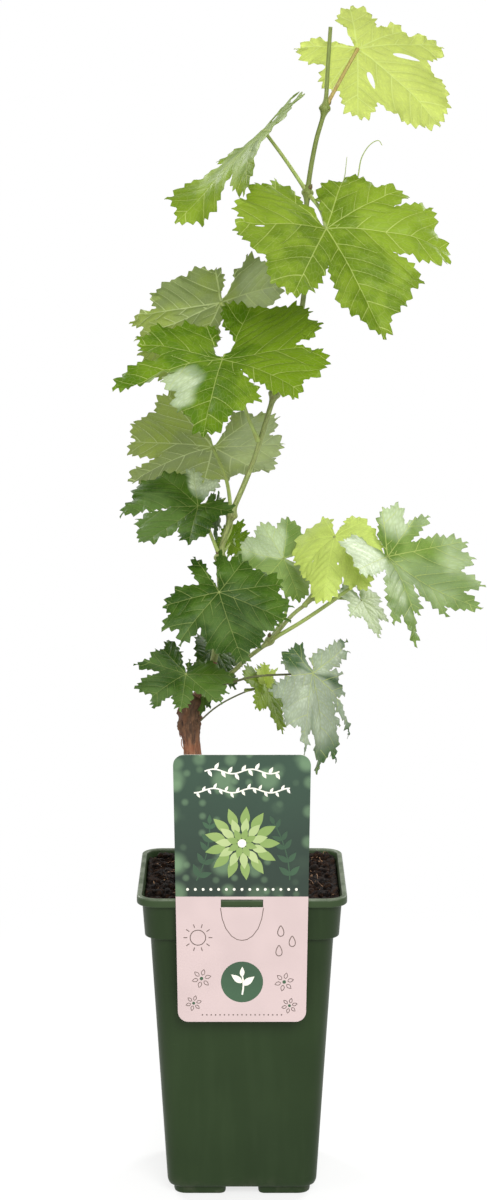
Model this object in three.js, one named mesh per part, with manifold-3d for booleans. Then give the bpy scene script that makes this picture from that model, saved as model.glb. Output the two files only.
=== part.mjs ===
// A young grapevine in a square nursery pot: pot, soil, label, woody stem, green shoots,
// leaf stalks and leaf blades. Millimetres, +Z up, +X right, +Y away from the front of the pot.
// The origin is the middle of the pot's underside.
import * as THREE from "three";
import { mergeVertices } from "three/addons/utils/BufferGeometryUtils.js";
import Module from "manifold-3d";

// ---- driving dimensions ----
const GAP = 0.3; // clearance between pieces that touch on the real plant

const POT = {
  height: 182,
  rim: 120, // outer width over the lip
  lip: 5.4, // height of the lip
  collarTop: 114,
  collarBottom: 111.5,
  collarHeight: 20,
  bodyTop: 105,
  bodyBottom: 87,
  corner: 12, // corner radius at the rim
  cornerBottom: 9,
  chamfer: 3,
  wall: 2,
  floor: 8,
  footHeight: 5,
  footGap: 18, // notch between two feet
  notchDepth: 26,
};
const SOIL_TOP = 172;

const LABEL = {
  bottom: 110.5,
  top: 266,
  widthTop: 77.5,
  widthBottom: 73,
  corner: 6,
  thick: 0.8,
  slot: 24,
  slotHeight: 4.6,
};

const TRUNK = {
  flare: 9, // radius at the soil
  flareHeight: 9,
  radius: 5.7,
  neck: 4.6,
  head: 7.2, // radius of the knobbly head
  headHeight: 104, // above the soil
  headLength: 9,
  lump: 0.08, // unevenness of the section
  span: [0, 4], // points of the main stem from the soil to the fork
  rings: 14,
  sides: 12,
};

const BLADE = 0.8; // thickness of a leaf blade
const STALK = 1.15; // radius of a leaf stalk
const STALK_SIDES = 6;
const STALK_STEPS = 7;
const SEAT_GAP = 0.45; // clearance between a stalk's foot and the axis-round shape of its limb
const SEAT_STEP = 0.05; // step by which a stalk's foot is moved clear of its limb
const SHOOT_SIDES = 10;
const SMALL_LEAF = 35; // blades shorter than this are made of fewer rings
const SHOULDER = 0.5; // where on the way from tip to sinus a lobe's outline has its middle point
const LOBE_POWER = 1.35; // roundness of a lobe's sides
const STALK_END = 0.05; // reach of the outline at the base, where the stalk comes in
const CURL_STEPS = 8;
const PAST_LOBE = 10; // degrees past the second lobe where the base's own bend sets in
const NODE_SWELL = 1.1; // extra radius at a node of a shoot
const NODE_LENGTH = 3.5; // how far along the shoot a node's swelling reaches

// ---- materials ----
const plain = (color, roughness) => new THREE.MeshStandardMaterial({ color, roughness });
const MATERIAL = {
  pot: () => plain("#38482c", 0.45),
  soil: () => plain("#2b211c", 1),
  card: () => plain("#d9c4bb", 0.5),
  bark: () => plain("#6b4030", 0.9),
  cane: () => plain("#7d5a41", 0.8),
  shoot: () => plain("#6f8f3a", 0.6),
  stalk: () => plain("#8aa04e", 0.6),
  blade: () => plain("#6f9f3c", 0.6),
};

// ---- stems ----
// Points of the main stem, from just under the soil, where it is cut off, to the cut tip,
// and of the side shoot, from beside the arm.
const MAIN = [
  [-20.7, -9, 168], [-24.5, -9.5, 215], [-28.5, -10, 255], [-30, -10, 277], [-27, -10, 287],
  [-21.5, -9, 295], [-17, -8, 307], [-15, -6, 318], [-12.5, -4, 342], [-12.5, -3, 369],
  [-6, -3, 394], [1, -3, 411], [8, -3, 429], [18.5, 0, 463], [28, 0, 491], [34.5, 0, 515],
  [37, 0, 577], [41.5, 0, 605], [46.5, 0, 624], [48, 0, 645], [49.5, 0, 669],
];
const SIDE = [
  [-15.5, -9, 298.5], [-11, -9.5, 300], [-5, -10, 304], [2, -11, 311], [16, -10, 322],
  [29, -10, 337], [39, -10, 345], [47, -8, 352],
];
// Limbs as stretches of those two, from point to point, each with the radius at its ends.
// nodes: the points where it swells.
const LIMBS = [
  { name: "arm", along: MAIN, span: [4, 6], radius: [3.4, 2.4], nodes: [] },
  { name: "shoot_lower", along: MAIN, span: [6, 10], radius: [2.0, 1.7], nodes: [9, 10] },
  { name: "shoot_middle", along: MAIN, span: [10, 16], radius: [1.7, 1.6], nodes: [10, 13, 16] },
  { name: "shoot_upper", along: MAIN, span: [16, 20], radius: [1.6, 1.1], nodes: [16, 18] },
  { name: "side_shoot", along: SIDE, span: [0, 7], radius: [1.8, 1.2], nodes: [4] },
];

// ---- leaves ----
// at: where the stalk meets the blade. aim: heading of the midrib in plan, its dip below level
// and the turn about it, in degrees. size: length of the midrib. left and right: angle from the
// midrib and reach, as a share of size, of the three lobes of each side. sinus: reach of the
// inner and outer sinus, left then right. bend: how far, in degrees, the midrib, the left and
// right lobes and the base curl down over their length. cup: how far each half folds up.
// stalk: where the stalk leaves its limb and the points that it passes.
const LEAVES = {
  top: {
    at: [65, 8, 657], aim: [25, 30, -35], size: 67,
    left: [[50, 0.8], [80, 0.6], [145, 0.5]], right: [[60, 0.8], [80, 0.65], [135, 0.6]],
    sinus: [0.35, 0.5, 0.3, 0.5], bend: [30, 10, 35, 30], cup: [0, 0],
    stalk: [[46.5, 0, 624], [56, 4, 641]],
  },
  upper_left: {
    at: [12, -5, 612], aim: [180, 45, 0], size: 73,
    left: [[50, 0.85], [95, 0.7], [150, 0.6]], right: [[50, 0.85], [95, 0.7], [150, 0.5]],
    sinus: [0.55, 0.5, 0.6, 0.5], bend: [5, 10, 0, -10], cup: [-8, 18],
    stalk: [[37, 0, 577], [24, -2, 596]],
  },
  upper_right: {
    at: [47, -24, 558], aim: [-55, 40, 10], size: 79,
    left: [[60, 0.95], [100, 0.7], [140, 0.5]], right: [[45, 0.85], [100, 0.7], [160, 0.6]],
    sinus: [0.5, 0.5, 0.4, 0.6], bend: [20, 45, 20, 25], cup: [25, 15],
    stalk: [[37, 0, 577], [44, -10, 568]],
  },
  back_left: {
    at: [-12, 16, 514], aim: [130, 55, -5], size: 68,
    left: [[55, 0.8], [75, 0.9], [150, 0.4]], right: [[50, 0.85], [100, 0.7], [175, 0.45]],
    sinus: [0.55, 0.5, 0.55, 0.5], bend: [-15, 0, 25, -5], cup: [15, 5],
    stalk: [[18.5, 0, 463], [3, 9, 488]],
  },
  front_left: {
    at: [-11, -32, 485], aim: [-100, 20, 0], size: 70,
    left: [[60, 0.9], [100, 0.9], [170, 0.8]], right: [[60, 0.95], [95, 0.7], [155, 0.5]],
    sinus: [0.4, 0.9, 0.5, 0.5], bend: [25, 35, 45, -35], cup: [10, 15],
    stalk: [[9, -3, 437], [3, -10, 452], [-3, -20, 470]],
  },
  back_low_left: {
    at: [-17, 24, 430], aim: [100, 40, 5], size: 63,
    left: [[55, 0.9], [90, 0.8], [145, 0.85]], right: [[50, 0.75], [90, 0.65], [145, 0.7]],
    sinus: [0.55, 0.5, 0.55, 0.5], bend: [-15, 25, 0, -15], cup: [5, 5],
    stalk: [[-6, -3, 394], [-9, 12, 412]],
  },
  dark_left: {
    at: [-25, -12, 400], aim: [-135, 25, -10], size: 51,
    left: [[35, 0.85], [95, 0.5], [140, 0.3]], right: [[45, 0.9], [105, 0.7], [135, 0.6]],
    sinus: [0.55, 0.5, 0.35, 0.5], bend: [-10, 0, 35, 5], cup: [10, 20],
    stalk: [[-12.5, -3, 369], [-21, -9, 391]],
  },
  folded: {
    at: [-15, 4, 397], aim: [-85, 85, 70], size: 21,
    left: [[50, 0.85], [100, 0.7], [155, 0.5]], right: [[45, 0.9], [100, 0.7], [155, 0.5]],
    sinus: [0.55, 0.5, 0.55, 0.5], bend: [0, 5, 20, 20], cup: [15, 5],
    stalk: [[-12, -3, 374], [-6, 6, 386], [-8, 9, 395]],
  },
  front_middle: {
    at: [-13, -28, 353], aim: [-70, 45, 5], size: 56,
    left: [[55, 0.8], [90, 0.75], [135, 0.6]], right: [[50, 0.75], [90, 0.6], [165, 0.5]],
    sinus: [0.55, 0.5, 0.5, 0.5], bend: [-15, 15, 40, 15], cup: [5, -5],
    stalk: [[-13, -4, 339], [-13, -14, 344]],
  },
  back_middle: {
    at: [24, 20, 365], aim: [195, -5, -50], size: 39,
    left: [[50, 0.9], [105, 0.75], [155, 0.5]], right: [[60, 0.65], [100, 0.7], [155, 0.5]],
    sinus: [0.55, 0.5, 0.55, 0.5], bend: [-50, 30, 10, 20], cup: [5, 15],
    stalk: [[16, -10, 322], [26, 8, 338], [23, 26, 355]],
  },
  pale_right: {
    at: [53, -8, 382], aim: [-105, 40, 0], size: 45,
    left: [[40, 0.9], [105, 0.6], [140, 0.45]], right: [[45, 0.65], [95, 0.7], [150, 0.5]],
    sinus: [0.7, 0.5, 0.55, 0.5], bend: [20, 40, 60, 35], cup: [-5, -10],
    stalk: [[36, -10, 342.5], [47, -10, 360]],
  },
  far_right: {
    at: [83, -18, 372], aim: [-10, 40, 20], size: 63,
    left: [[55, 0.85], [95, 0.7], [135, 0.5]], right: [[40, 1.05], [100, 0.7], [160, 0.35]],
    sinus: [0.55, 0.45, 0.4, 0.5], bend: [-30, 0, 30, -5], cup: [25, 15],
    stalk: [[16, -10, 322], [35, -13, 334], [60, -15, 352]],
  },
  small_right: {
    at: [69, 4, 343], aim: [-55, 45, -10], size: 27,
    left: [[50, 0.8], [100, 0.7], [155, 0.5]], right: [[55, 0.85], [100, 0.7], [155, 0.5]],
    sinus: [0.55, 0.5, 0.55, 0.5], bend: [5, 25, 10, 20], cup: [5, 10],
    stalk: [[40, -9, 346], [58, -1, 345]],
  },
  low_left: {
    at: [-32, -30, 306], aim: [-95, 30, -5], size: 42,
    left: [[45, 0.75], [95, 0.7], [175, 0.4]], right: [[40, 0.85], [100, 0.7], [140, 0.7]],
    sinus: [0.45, 0.6, 0.45, 0.4], bend: [-10, 20, 35, 5], cup: [5, 15],
    stalk: [[-20, -9, 299], [-27, -17, 303]],
  },
  low_right: {
    at: [40, -22, 305], aim: [-35, 70, 0], size: 61,
    left: [[45, 0.95], [105, 0.7], [155, 0.5]], right: [[40, 0.9], [95, 0.7], [145, 0.35]],
    sinus: [0.35, 0.35, 0.7, 0.5], bend: [35, 50, 0, 15], cup: [15, 5],
    stalk: [[-22, -9, 294], [-10, -13, 297], [7, -16, 302], [29, -19, 304]],
  },
  low_pale: {
    at: [13, 6, 293], aim: [-45, 55, -15], size: 32,
    left: [[55, 0.8], [100, 0.65], [155, 0.5]], right: [[55, 0.85], [100, 0.7], [155, 0.5]],
    sinus: [0.55, 0.5, 0.55, 0.5], bend: [10, 20, 20, 30], cup: [0, 10],
    stalk: [[-29, -10, 270], [-16, -4, 281], [-3, 4, 287]],
  },
  low_dark: {
    at: [-16, 14, 313], aim: [-20, 55, 15], size: 28,
    left: [[45, 0.9], [100, 0.7], [155, 0.5]], right: [[50, 0.9], [85, 0.7], [155, 0.5]],
    sinus: [0.55, 0.5, 0.55, 0.5], bend: [15, 25, 30, 20], cup: [5, 5],
    stalk: [[-17, -8, 306], [-24, 3, 305], [-23, 20, 307]],
  },
};

// ---- solids from rings ----
const vector = (p) => new THREE.Vector3(...p);
const radians = THREE.MathUtils.degToRad;

function bodyOf(positions, index) {
  const geometry = new THREE.BufferGeometry();
  geometry.setAttribute("position", new THREE.Float32BufferAttribute(positions, 3));
  geometry.setIndex(index);
  return geometry;
}

// A closed solid through rings of points, counter-clockwise seen from the last ring.
function ringSolid(rings) {
  const count = rings[0].length;
  const positions = rings.flat().flatMap((p) => p.toArray());
  const index = [];
  for (let k = 0; k + 1 < rings.length; k++) {
    for (let i = 0; i < count; i++) {
      const a = k * count + i;
      const b = k * count + ((i + 1) % count);
      index.push(a, b, b + count, a, b + count, a + count);
    }
  }
  const last = (rings.length - 1) * count;
  for (const [ring, start] of [[rings[0], 0], [rings[rings.length - 1], last]]) {
    const middle = ring.reduce((sum, p) => sum.add(p), new THREE.Vector3()).divideScalar(count);
    const hub = positions.length / 3;
    positions.push(...middle.toArray());
    for (let i = 0; i < count; i++) {
      const edge = [start + i, start + ((i + 1) % count)];
      index.push(hub, ...(start === 0 ? edge.reverse() : edge));
    }
  }
  return bodyOf(positions, index);
}

const wasm = await Module();
wasm.setup();

function toSolid(geometry) {
  const bare = new THREE.BufferGeometry();
  bare.setAttribute("position", geometry.getAttribute("position"));
  bare.setIndex(geometry.getIndex());
  const merged = mergeVertices(bare, 1e-3);
  const vertProperties = merged.attributes.position.array;
  const triVerts = new Uint32Array(merged.index.array);
  return new wasm.Manifold(new wasm.Mesh({ numProp: 3, vertProperties, triVerts }));
}

function toGeometry(solid) {
  const mesh = solid.getMesh();
  const geometry = new THREE.BufferGeometry();
  geometry.setAttribute("position", new THREE.BufferAttribute(mesh.vertProperties, 3));
  geometry.setIndex(new THREE.BufferAttribute(mesh.triVerts, 1));
  return geometry;
}

const group = new THREE.Group();
function add(name, geometry, material) {
  const mesh = new THREE.Mesh(geometry, MATERIAL[material]());
  mesh.name = name;
  group.add(mesh);
}

// ---- pot, soil and label ----
const CORNER_STEPS = 4;
function squareRing(half, radius, z) {
  const ring = [];
  for (let corner = 0; corner < 4; corner++) {
    for (let i = 0; i <= CORNER_STEPS; i++) {
      const angle = (corner + i / CORNER_STEPS) * (Math.PI / 2);
      const signX = corner === 0 || corner === 3 ? 1 : -1;
      const signY = corner < 2 ? 1 : -1;
      const x = signX * (half - radius) + radius * Math.cos(angle);
      const y = signY * (half - radius) + radius * Math.sin(angle);
      ring.push(new THREE.Vector3(x, y, z));
    }
  }
  return ring;
}

const STEP = 0.4; // height over which the pot steps out under the collar and the lip
const lipBottom = POT.height - POT.lip;
const collarBottomZ = lipBottom - POT.collarHeight;
const ledge = collarBottomZ + POT.wall; // inside the step from body to collar
// Half width, corner radius and height of the pot's inside, from the rim down to the floor.
const INSIDE = [
  [POT.rim / 2 - 3, POT.corner - 2, POT.height],
  [POT.collarTop / 2 - POT.wall, POT.corner - 2, lipBottom],
  [POT.collarBottom / 2 - POT.wall, POT.corner - 2, ledge],
  [POT.bodyTop / 2 - POT.wall, POT.corner - 3, ledge - STEP],
  [POT.bodyBottom / 2 - POT.wall, POT.cornerBottom - 2, POT.floor],
];

function makePot() {
  const outside = [
    [POT.bodyBottom / 2 - POT.chamfer, POT.cornerBottom - 2, 0],
    [POT.bodyBottom / 2, POT.cornerBottom, POT.chamfer],
    [POT.bodyTop / 2, POT.corner - 1, collarBottomZ],
    [POT.collarBottom / 2, POT.corner, collarBottomZ + STEP],
    [POT.collarTop / 2, POT.corner, lipBottom],
    [POT.rim / 2, POT.corner, lipBottom + STEP],
    [POT.rim / 2, POT.corner, POT.height],
  ];
  let pot = toSolid(ringSolid([...outside, ...INSIDE].map((row) => squareRing(...row))));
  // The notches between the feet, one in the middle of each side.
  const length = POT.notchDepth + POT.chamfer;
  for (let side = 0; side < 4; side++) {
    const notch = new THREE.BoxGeometry(length, POT.footGap, 2 * POT.footHeight);
    notch.translate(POT.bodyBottom / 2 - POT.notchDepth + length / 2, 0, 0);
    notch.rotateZ((side * Math.PI) / 2);
    pot = pot.subtract(toSolid(notch));
  }
  return toGeometry(pot);
}

// The soil fills the inside, one gap clear of it, up to SOIL_TOP.
function makeSoil() {
  const [top, ledgeRow, bodyRow, floorRow] = INSIDE.slice(1);
  const share = (SOIL_TOP - ledge) / (lipBottom - ledge);
  const topHalf = THREE.MathUtils.lerp(ledgeRow[0], top[0], share);
  const rows = [floorRow, bodyRow, ledgeRow, [topHalf, top[1], SOIL_TOP - GAP]];
  return ringSolid(rows.map(([half, radius, z]) => squareRing(half - GAP, radius, z + GAP)));
}

function makeLabel() {
  const shape = new THREE.Shape();
  const r = LABEL.corner;
  const low = LABEL.widthBottom / 2;
  const high = LABEL.widthTop / 2;
  shape.moveTo(-low + r, LABEL.bottom);
  shape.lineTo(low - r, LABEL.bottom);
  shape.quadraticCurveTo(low, LABEL.bottom, low, LABEL.bottom + r);
  shape.lineTo(high, LABEL.top - r);
  shape.quadraticCurveTo(high, LABEL.top, high - r, LABEL.top);
  shape.lineTo(-high + r, LABEL.top);
  shape.quadraticCurveTo(-high, LABEL.top, -high, LABEL.top - r);
  shape.lineTo(-low, LABEL.bottom + r);
  shape.quadraticCurveTo(-low, LABEL.bottom, -low + r, LABEL.bottom);
  const slot = new THREE.Path();
  const slotTop = POT.height + GAP;
  slot.moveTo(-LABEL.slot / 2, slotTop - LABEL.slotHeight);
  slot.lineTo(-LABEL.slot / 2, slotTop);
  slot.lineTo(LABEL.slot / 2, slotTop);
  slot.lineTo(LABEL.slot / 2, slotTop - LABEL.slotHeight);
  shape.holes.push(slot);
  const card = new THREE.ExtrudeGeometry(shape, {
    depth: LABEL.thick,
    bevelEnabled: false,
    curveSegments: 4,
  });
  card.rotateX(Math.PI / 2);
  const back = -POT.rim / 2 - GAP;
  card.translate(0, back, 0);
  // The flap cut out of the slot is folded back and lies on the rim.
  const hook = new THREE.BoxGeometry(LABEL.slot, LABEL.slotHeight + LABEL.thick / 2, LABEL.thick);
  hook.translate(0, back + LABEL.slotHeight / 2 - LABEL.thick / 4, slotTop + LABEL.thick / 2);
  return toGeometry(toSolid(card).add(toSolid(hook)));
}

// ---- limbs ----
const LIMB_STEPS = 3; // rings for each stretch between two points

// A tube round a curve from u0 to u1, with radius(u) and a section made uneven by lump(angle, u).
function tube(curve, u0, u1, steps, sides, radius, lump = () => 1) {
  const along = curve.getPoint(u1).sub(curve.getPoint(u0));
  const steep = Math.abs(along.y) > along.length() * 0.7;
  const reference = steep ? new THREE.Vector3(1, 0, 0) : new THREE.Vector3(0, 1, 0);
  const rings = [];
  for (let k = 0; k <= steps; k++) {
    const u = THREE.MathUtils.lerp(u0, u1, k / steps);
    const middle = curve.getPoint(u);
    const tangent = curve.getTangent(u);
    const across = reference.clone().cross(tangent).normalize();
    const up = tangent.clone().cross(across);
    const ring = [];
    for (let i = 0; i < sides; i++) {
      const angle = (i / sides) * Math.PI * 2;
      const reach = radius(u) * lump(angle, u);
      const p = middle.clone();
      p.addScaledVector(across, reach * Math.cos(angle));
      p.addScaledVector(up, reach * Math.sin(angle));
      ring.push(p);
    }
    rings.push(ring);
  }
  return ringSolid(rings);
}

const curveThrough = (points) => new THREE.CatmullRomCurve3(points.map(vector), false, "centripetal");
const curves = new Map([MAIN, SIDE].map((points) => [points, curveThrough(points)]));

// Radius of a limb at u, with its swollen nodes.
function limbRadius(limb, u) {
  const last = limb.along.length - 1;
  const share = (u * last - limb.span[0]) / (limb.span[1] - limb.span[0]);
  const here = curves.get(limb.along).getPoint(u);
  let radius = THREE.MathUtils.lerp(...limb.radius, THREE.MathUtils.clamp(share, 0, 1));
  for (const node of limb.nodes) {
    const away = here.distanceTo(vector(limb.along[node])) / NODE_LENGTH;
    radius += NODE_SWELL * Math.exp(-away * away);
  }
  return radius;
}

function makeLimb(limb) {
  const curve = curves.get(limb.along);
  const last = limb.along.length - 1;
  const [from, to] = limb.span;
  // A limb that continues another starts one gap past it.
  const spacing = vector(limb.along[from]).distanceTo(vector(limb.along[from + 1]));
  const start = (from === 0 ? from : from + GAP / spacing) / last;
  const steps = LIMB_STEPS * (to - from);
  return tube(curve, start, to / last, steps, SHOOT_SIDES, (u) => limbRadius(limb, u));
}

// Radius of the trunk at u: the root flare, the taper and the knobbly head.
function trunkRadius(u) {
  const h = curves.get(MAIN).getPoint(u).z - SOIL_TOP;
  const flare = (TRUNK.flare - TRUNK.radius) * Math.exp(-h / TRUNK.flareHeight);
  const taper = THREE.MathUtils.lerp(TRUNK.radius, TRUNK.neck, h / (MAIN[TRUNK.span[1]][2] - SOIL_TOP));
  const knob = Math.exp(-(((h - TRUNK.headHeight) / TRUNK.headLength) ** 2));
  return taper + flare + (TRUNK.head - TRUNK.neck) * knob;
}

function makeTrunk() {
  const top = TRUNK.span[1] / (MAIN.length - 1);
  const lump = (angle, u) => 1 + TRUNK.lump * Math.sin(3 * angle + 9 * u) * Math.cos(2 * angle - 30 * u);
  const stem = toSolid(tube(curves.get(MAIN), 0, top, TRUNK.rings, TRUNK.sides, trunkRadius, lump));
  // The flat cut at the soil.
  const below = new THREE.BoxGeometry(10 * TRUNK.flare, 10 * TRUNK.flare, 20);
  below.translate(MAIN[0][0], MAIN[0][1], SOIL_TOP + GAP - 10);
  return toGeometry(stem.subtract(toSolid(below)));
}

// ---- leaves ----
// The outline of one half of a blade: angle from the midrib and reach, from tip to base.
// Each lobe falls off to the sinus on either side of it.
function halfOutline(lobes, sinuses) {
  const tips = [[0, 1], ...lobes];
  const points = [];
  for (let k = 0; k + 1 < tips.length; k++) {
    const [a0, r0] = tips[k];
    const [a1, r1] = tips[k + 1];
    const low = k < sinuses.length ? sinuses[k] : (0.93 * (r0 + r1)) / 2;
    const fall = (reach) => low + (reach - low) * (1 - SHOULDER ** LOBE_POWER);
    const middle = (a0 + a1) / 2;
    points.push([a0, r0], [THREE.MathUtils.lerp(a0, middle, SHOULDER), fall(r0)]);
    points.push([middle, low], [THREE.MathUtils.lerp(a1, middle, SHOULDER), fall(r1)]);
  }
  const [angle, reach] = tips[tips.length - 1];
  points.push([angle, reach], [(2 * angle + 180) / 3, reach * 0.6], [180, STALK_END]);
  return points;
}

// Shape of a leaf: a function from (angle, reach) in the blade to a point in space.
function bladeShape(leaf) {
  const [heading, dip, turn] = leaf.aim.map(radians);
  const midrib = new THREE.Vector3(
    Math.cos(heading) * Math.cos(dip), Math.sin(heading) * Math.cos(dip), -Math.sin(dip));
  const level = new THREE.Vector3(-Math.sin(heading), Math.cos(heading), 0);
  const left = level.clone().applyAxisAngle(midrib, turn);
  const up = midrib.clone().cross(left);
  const [bendMid, bendLeft, bendRight, bendBase] = leaf.bend;
  const at = vector(leaf.at);
  const knots = [
    [-180, bendBase],
    [-leaf.right[1][0] - PAST_LOBE, (bendBase + bendRight) / 2],
    [-leaf.right[0][0], bendRight],
    [0, bendMid],
    [leaf.left[0][0], bendLeft],
    [leaf.left[1][0] + PAST_LOBE, (bendBase + bendLeft) / 2],
    [180, bendBase],
  ];
  const bendAt = (angle) => {
    const k = Math.max(1, knots.findIndex(([knot]) => angle <= knot));
    const share = (angle - knots[k - 1][0]) / (knots[k][0] - knots[k - 1][0]);
    return radians(THREE.MathUtils.lerp(knots[k - 1][1], knots[k][1], share));
  };
  const shape = (angle, reach) => {
    const turned = radians(angle);
    const cup = radians(leaf.cup[angle > 0 ? 0 : 1]) * Math.abs(Math.sin(turned));
    const bend = bendAt(angle);
    let out = 0;
    let rise = 0;
    for (let i = 0; i < CURL_STEPS; i++) {
      const slope = cup - (bend * reach * (i + 0.5)) / CURL_STEPS;
      out += (Math.cos(slope) * reach * leaf.size) / CURL_STEPS;
      rise += (Math.sin(slope) * reach * leaf.size) / CURL_STEPS;
    }
    const p = at.clone();
    p.addScaledVector(midrib, out * Math.cos(turned));
    p.addScaledVector(left, out * Math.sin(turned));
    return p.addScaledVector(up, rise);
  };
  return { shape, up, at };
}

function makeBlade(leaf) {
  const { shape, up, at } = bladeShape(leaf);
  const leftHalf = halfOutline(leaf.left, leaf.sinus.slice(0, 2));
  const rightHalf = halfOutline(leaf.right, leaf.sinus.slice(2)).map(([angle, reach]) => [-angle, reach]);
  const outline = [...leftHalf, ...rightHalf.slice(1, -1).reverse()];
  const count = outline.length;
  const shares = leaf.size > SMALL_LEAF ? [0.35, 0.7, 1] : [0.5, 1];
  const positions = [];
  const index = [];
  for (const side of [1, -1]) {
    positions.push(...at.clone().addScaledVector(up, (side * BLADE) / 2).toArray());
    for (const share of shares) {
      for (const [angle, reach] of outline) {
        const r = share * reach;
        const p = shape(angle, r);
        const outward = shape(angle, r + 0.01).sub(p);
        const from = Math.min(angle, 179);
        const round = shape(from + 1, r).sub(shape(from, r));
        const normal = outward.cross(round).normalize();
        positions.push(...p.addScaledVector(normal, (side * BLADE) / 2).toArray());
      }
    }
  }
  const layer = 1 + count * shares.length;
  for (const [base, flip] of [[0, false], [layer, true]]) {
    const face = (a, b, c) => index.push(...(flip ? [a, c, b] : [a, b, c]).map((i) => base + i));
    for (let i = 0; i < count; i++) {
      const next = (i + 1) % count;
      face(0, 1 + i, 1 + next);
      for (let k = 0; k + 1 < shares.length; k++) {
        const inner = 1 + k * count;
        face(inner + i, inner + count + i, inner + count + next);
        face(inner + i, inner + count + next, inner + next);
      }
    }
  }
  const rim = 1 + (shares.length - 1) * count;
  for (let i = 0; i < count; i++) {
    const a = rim + i;
    const b = rim + ((i + 1) % count);
    index.push(a, a + layer, b + layer, a, b + layer, b);
  }
  return bodyOf(positions, index);
}

// Places along the trunk's and every limb's axis, with the radius there.
const AXIS_STEPS = 120;
function placesAlong(along, [from, to], radius) {
  const curve = curves.get(along);
  return Array.from({ length: AXIS_STEPS + 1 }, (_, k) => {
    const u = THREE.MathUtils.lerp(from, to, k / AXIS_STEPS) / (along.length - 1);
    return { point: curve.getPoint(u), radius: radius(u) };
  });
}
const axisPlaces = [
  ...placesAlong(MAIN, TRUNK.span, trunkRadius),
  ...LIMBS.flatMap((limb) => placesAlong(limb.along, limb.span, (u) => limbRadius(limb, u))),
];

// Distance from a disc, the end of a stalk, to the nearest limb.
function clearance(middle, direction) {
  const side = direction.clone().cross(new THREE.Vector3(0.3, 1, 0.2)).normalize();
  let least = Infinity;
  for (let i = 0; i < STALK_SIDES; i++) {
    const edge = side.clone().applyAxisAngle(direction, (i / STALK_SIDES) * Math.PI * 2);
    const p = edge.multiplyScalar(STALK).add(middle);
    for (const { point, radius } of axisPlaces) least = Math.min(least, p.distanceTo(point) - radius);
  }
  return least;
}

// A stalk from just outside its limb to just under its blade.
function makeStalk(leaf) {
  const { up, at } = bladeShape(leaf);
  const points = leaf.stalk.map(vector);
  const first = (points[1] ?? at).clone().sub(points[0]).normalize();
  while (clearance(points[0], first) < SEAT_GAP) points[0].addScaledVector(first, SEAT_STEP);
  const last = at.clone().sub(points[points.length - 1]).normalize();
  const lean = Math.sin(last.angleTo(up));
  points.push(at.clone().addScaledVector(up, -(BLADE / 2 + GAP + STALK * lean)));
  const curve = new THREE.CatmullRomCurve3(points, false, "centripetal");
  return tube(curve, 0, 1, STALK_STEPS, STALK_SIDES, () => STALK);
}

add("pot", makePot(), "pot");
add("soil", makeSoil(), "soil");
add("label", makeLabel(), "card");
add("trunk", makeTrunk(), "bark");
add("arm", makeLimb(LIMBS[0]), "cane");
for (const limb of LIMBS.slice(1)) add(limb.name, makeLimb(limb), "shoot");
for (const [name, leaf] of Object.entries(LEAVES)) {
  add(`stalk_${name}`, makeStalk(leaf), "stalk");
  add(`leaf_${name}`, makeBlade(leaf), "blade");
}

export default group;
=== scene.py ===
"""A young grapevine in a square nursery pot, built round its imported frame.

Everything is in the frame's own place: metres, +Z up, the front of the pot towards -Y. The tables
of stems and leaves are in millimetres, as the part's source has them, and are scaled on the way
into a mesh.
"""
import math

import bpy
import numpy as np
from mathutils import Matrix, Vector, geometry, kdtree, noise


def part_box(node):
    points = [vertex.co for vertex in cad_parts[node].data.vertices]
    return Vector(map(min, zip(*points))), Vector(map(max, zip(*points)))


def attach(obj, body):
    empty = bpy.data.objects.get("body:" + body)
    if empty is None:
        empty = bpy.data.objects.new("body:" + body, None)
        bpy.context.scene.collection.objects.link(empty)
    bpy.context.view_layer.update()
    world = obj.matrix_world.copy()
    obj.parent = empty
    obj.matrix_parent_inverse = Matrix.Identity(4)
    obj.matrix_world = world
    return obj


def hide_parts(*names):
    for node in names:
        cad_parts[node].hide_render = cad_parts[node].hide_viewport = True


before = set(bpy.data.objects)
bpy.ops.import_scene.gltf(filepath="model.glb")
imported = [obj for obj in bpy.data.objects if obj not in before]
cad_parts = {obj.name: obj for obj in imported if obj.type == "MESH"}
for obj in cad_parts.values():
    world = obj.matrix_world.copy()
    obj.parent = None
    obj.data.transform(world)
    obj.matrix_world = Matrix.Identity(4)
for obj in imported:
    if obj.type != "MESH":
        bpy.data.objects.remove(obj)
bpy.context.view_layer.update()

bl_info = {
    "name": "Potted grapevine",
    "version": (1, 0, 0),
    "blender": (4, 5, 0),
    "location": "3D View > Sidebar > Grapevine",
    "description": "Builds a young grapevine in a nursery pot, piece by piece",
    "category": "Add Mesh",
}

MM = 0.001
BODY = "root"

# ---- tables shared with the part ----
# Points of the main stem, from under the soil to the cut tip, and of the side shoot.
MAIN = np.array([
    [-20.7, -9, 168], [-24.5, -9.5, 215], [-28.5, -10, 255], [-30, -10, 277], [-27, -10, 287],
    [-21.5, -9, 295], [-17, -8, 307], [-15, -6, 318], [-12.5, -4, 342], [-12.5, -3, 369],
    [-6, -3, 394], [1, -3, 411], [8, -3, 429], [18.5, 0, 463], [28, 0, 491], [34.5, 0, 515],
    [37, 0, 577], [41.5, 0, 605], [46.5, 0, 624], [48, 0, 645], [49.5, 0, 669],
])
SIDE = np.array([
    [-15.5, -9, 298.5], [-11, -9.5, 300], [-5, -10, 304], [2, -11, 311], [16, -10, 322],
    [29, -10, 337], [39, -10, 345], [47, -8, 352],
])
# Radius of the main stem above the fork, at its points.
MAIN_RADIUS = {4: 3.4, 6: 2.1, 10: 1.55, 15: 1.5, 17: 1.28, 20: 1.1}
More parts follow.
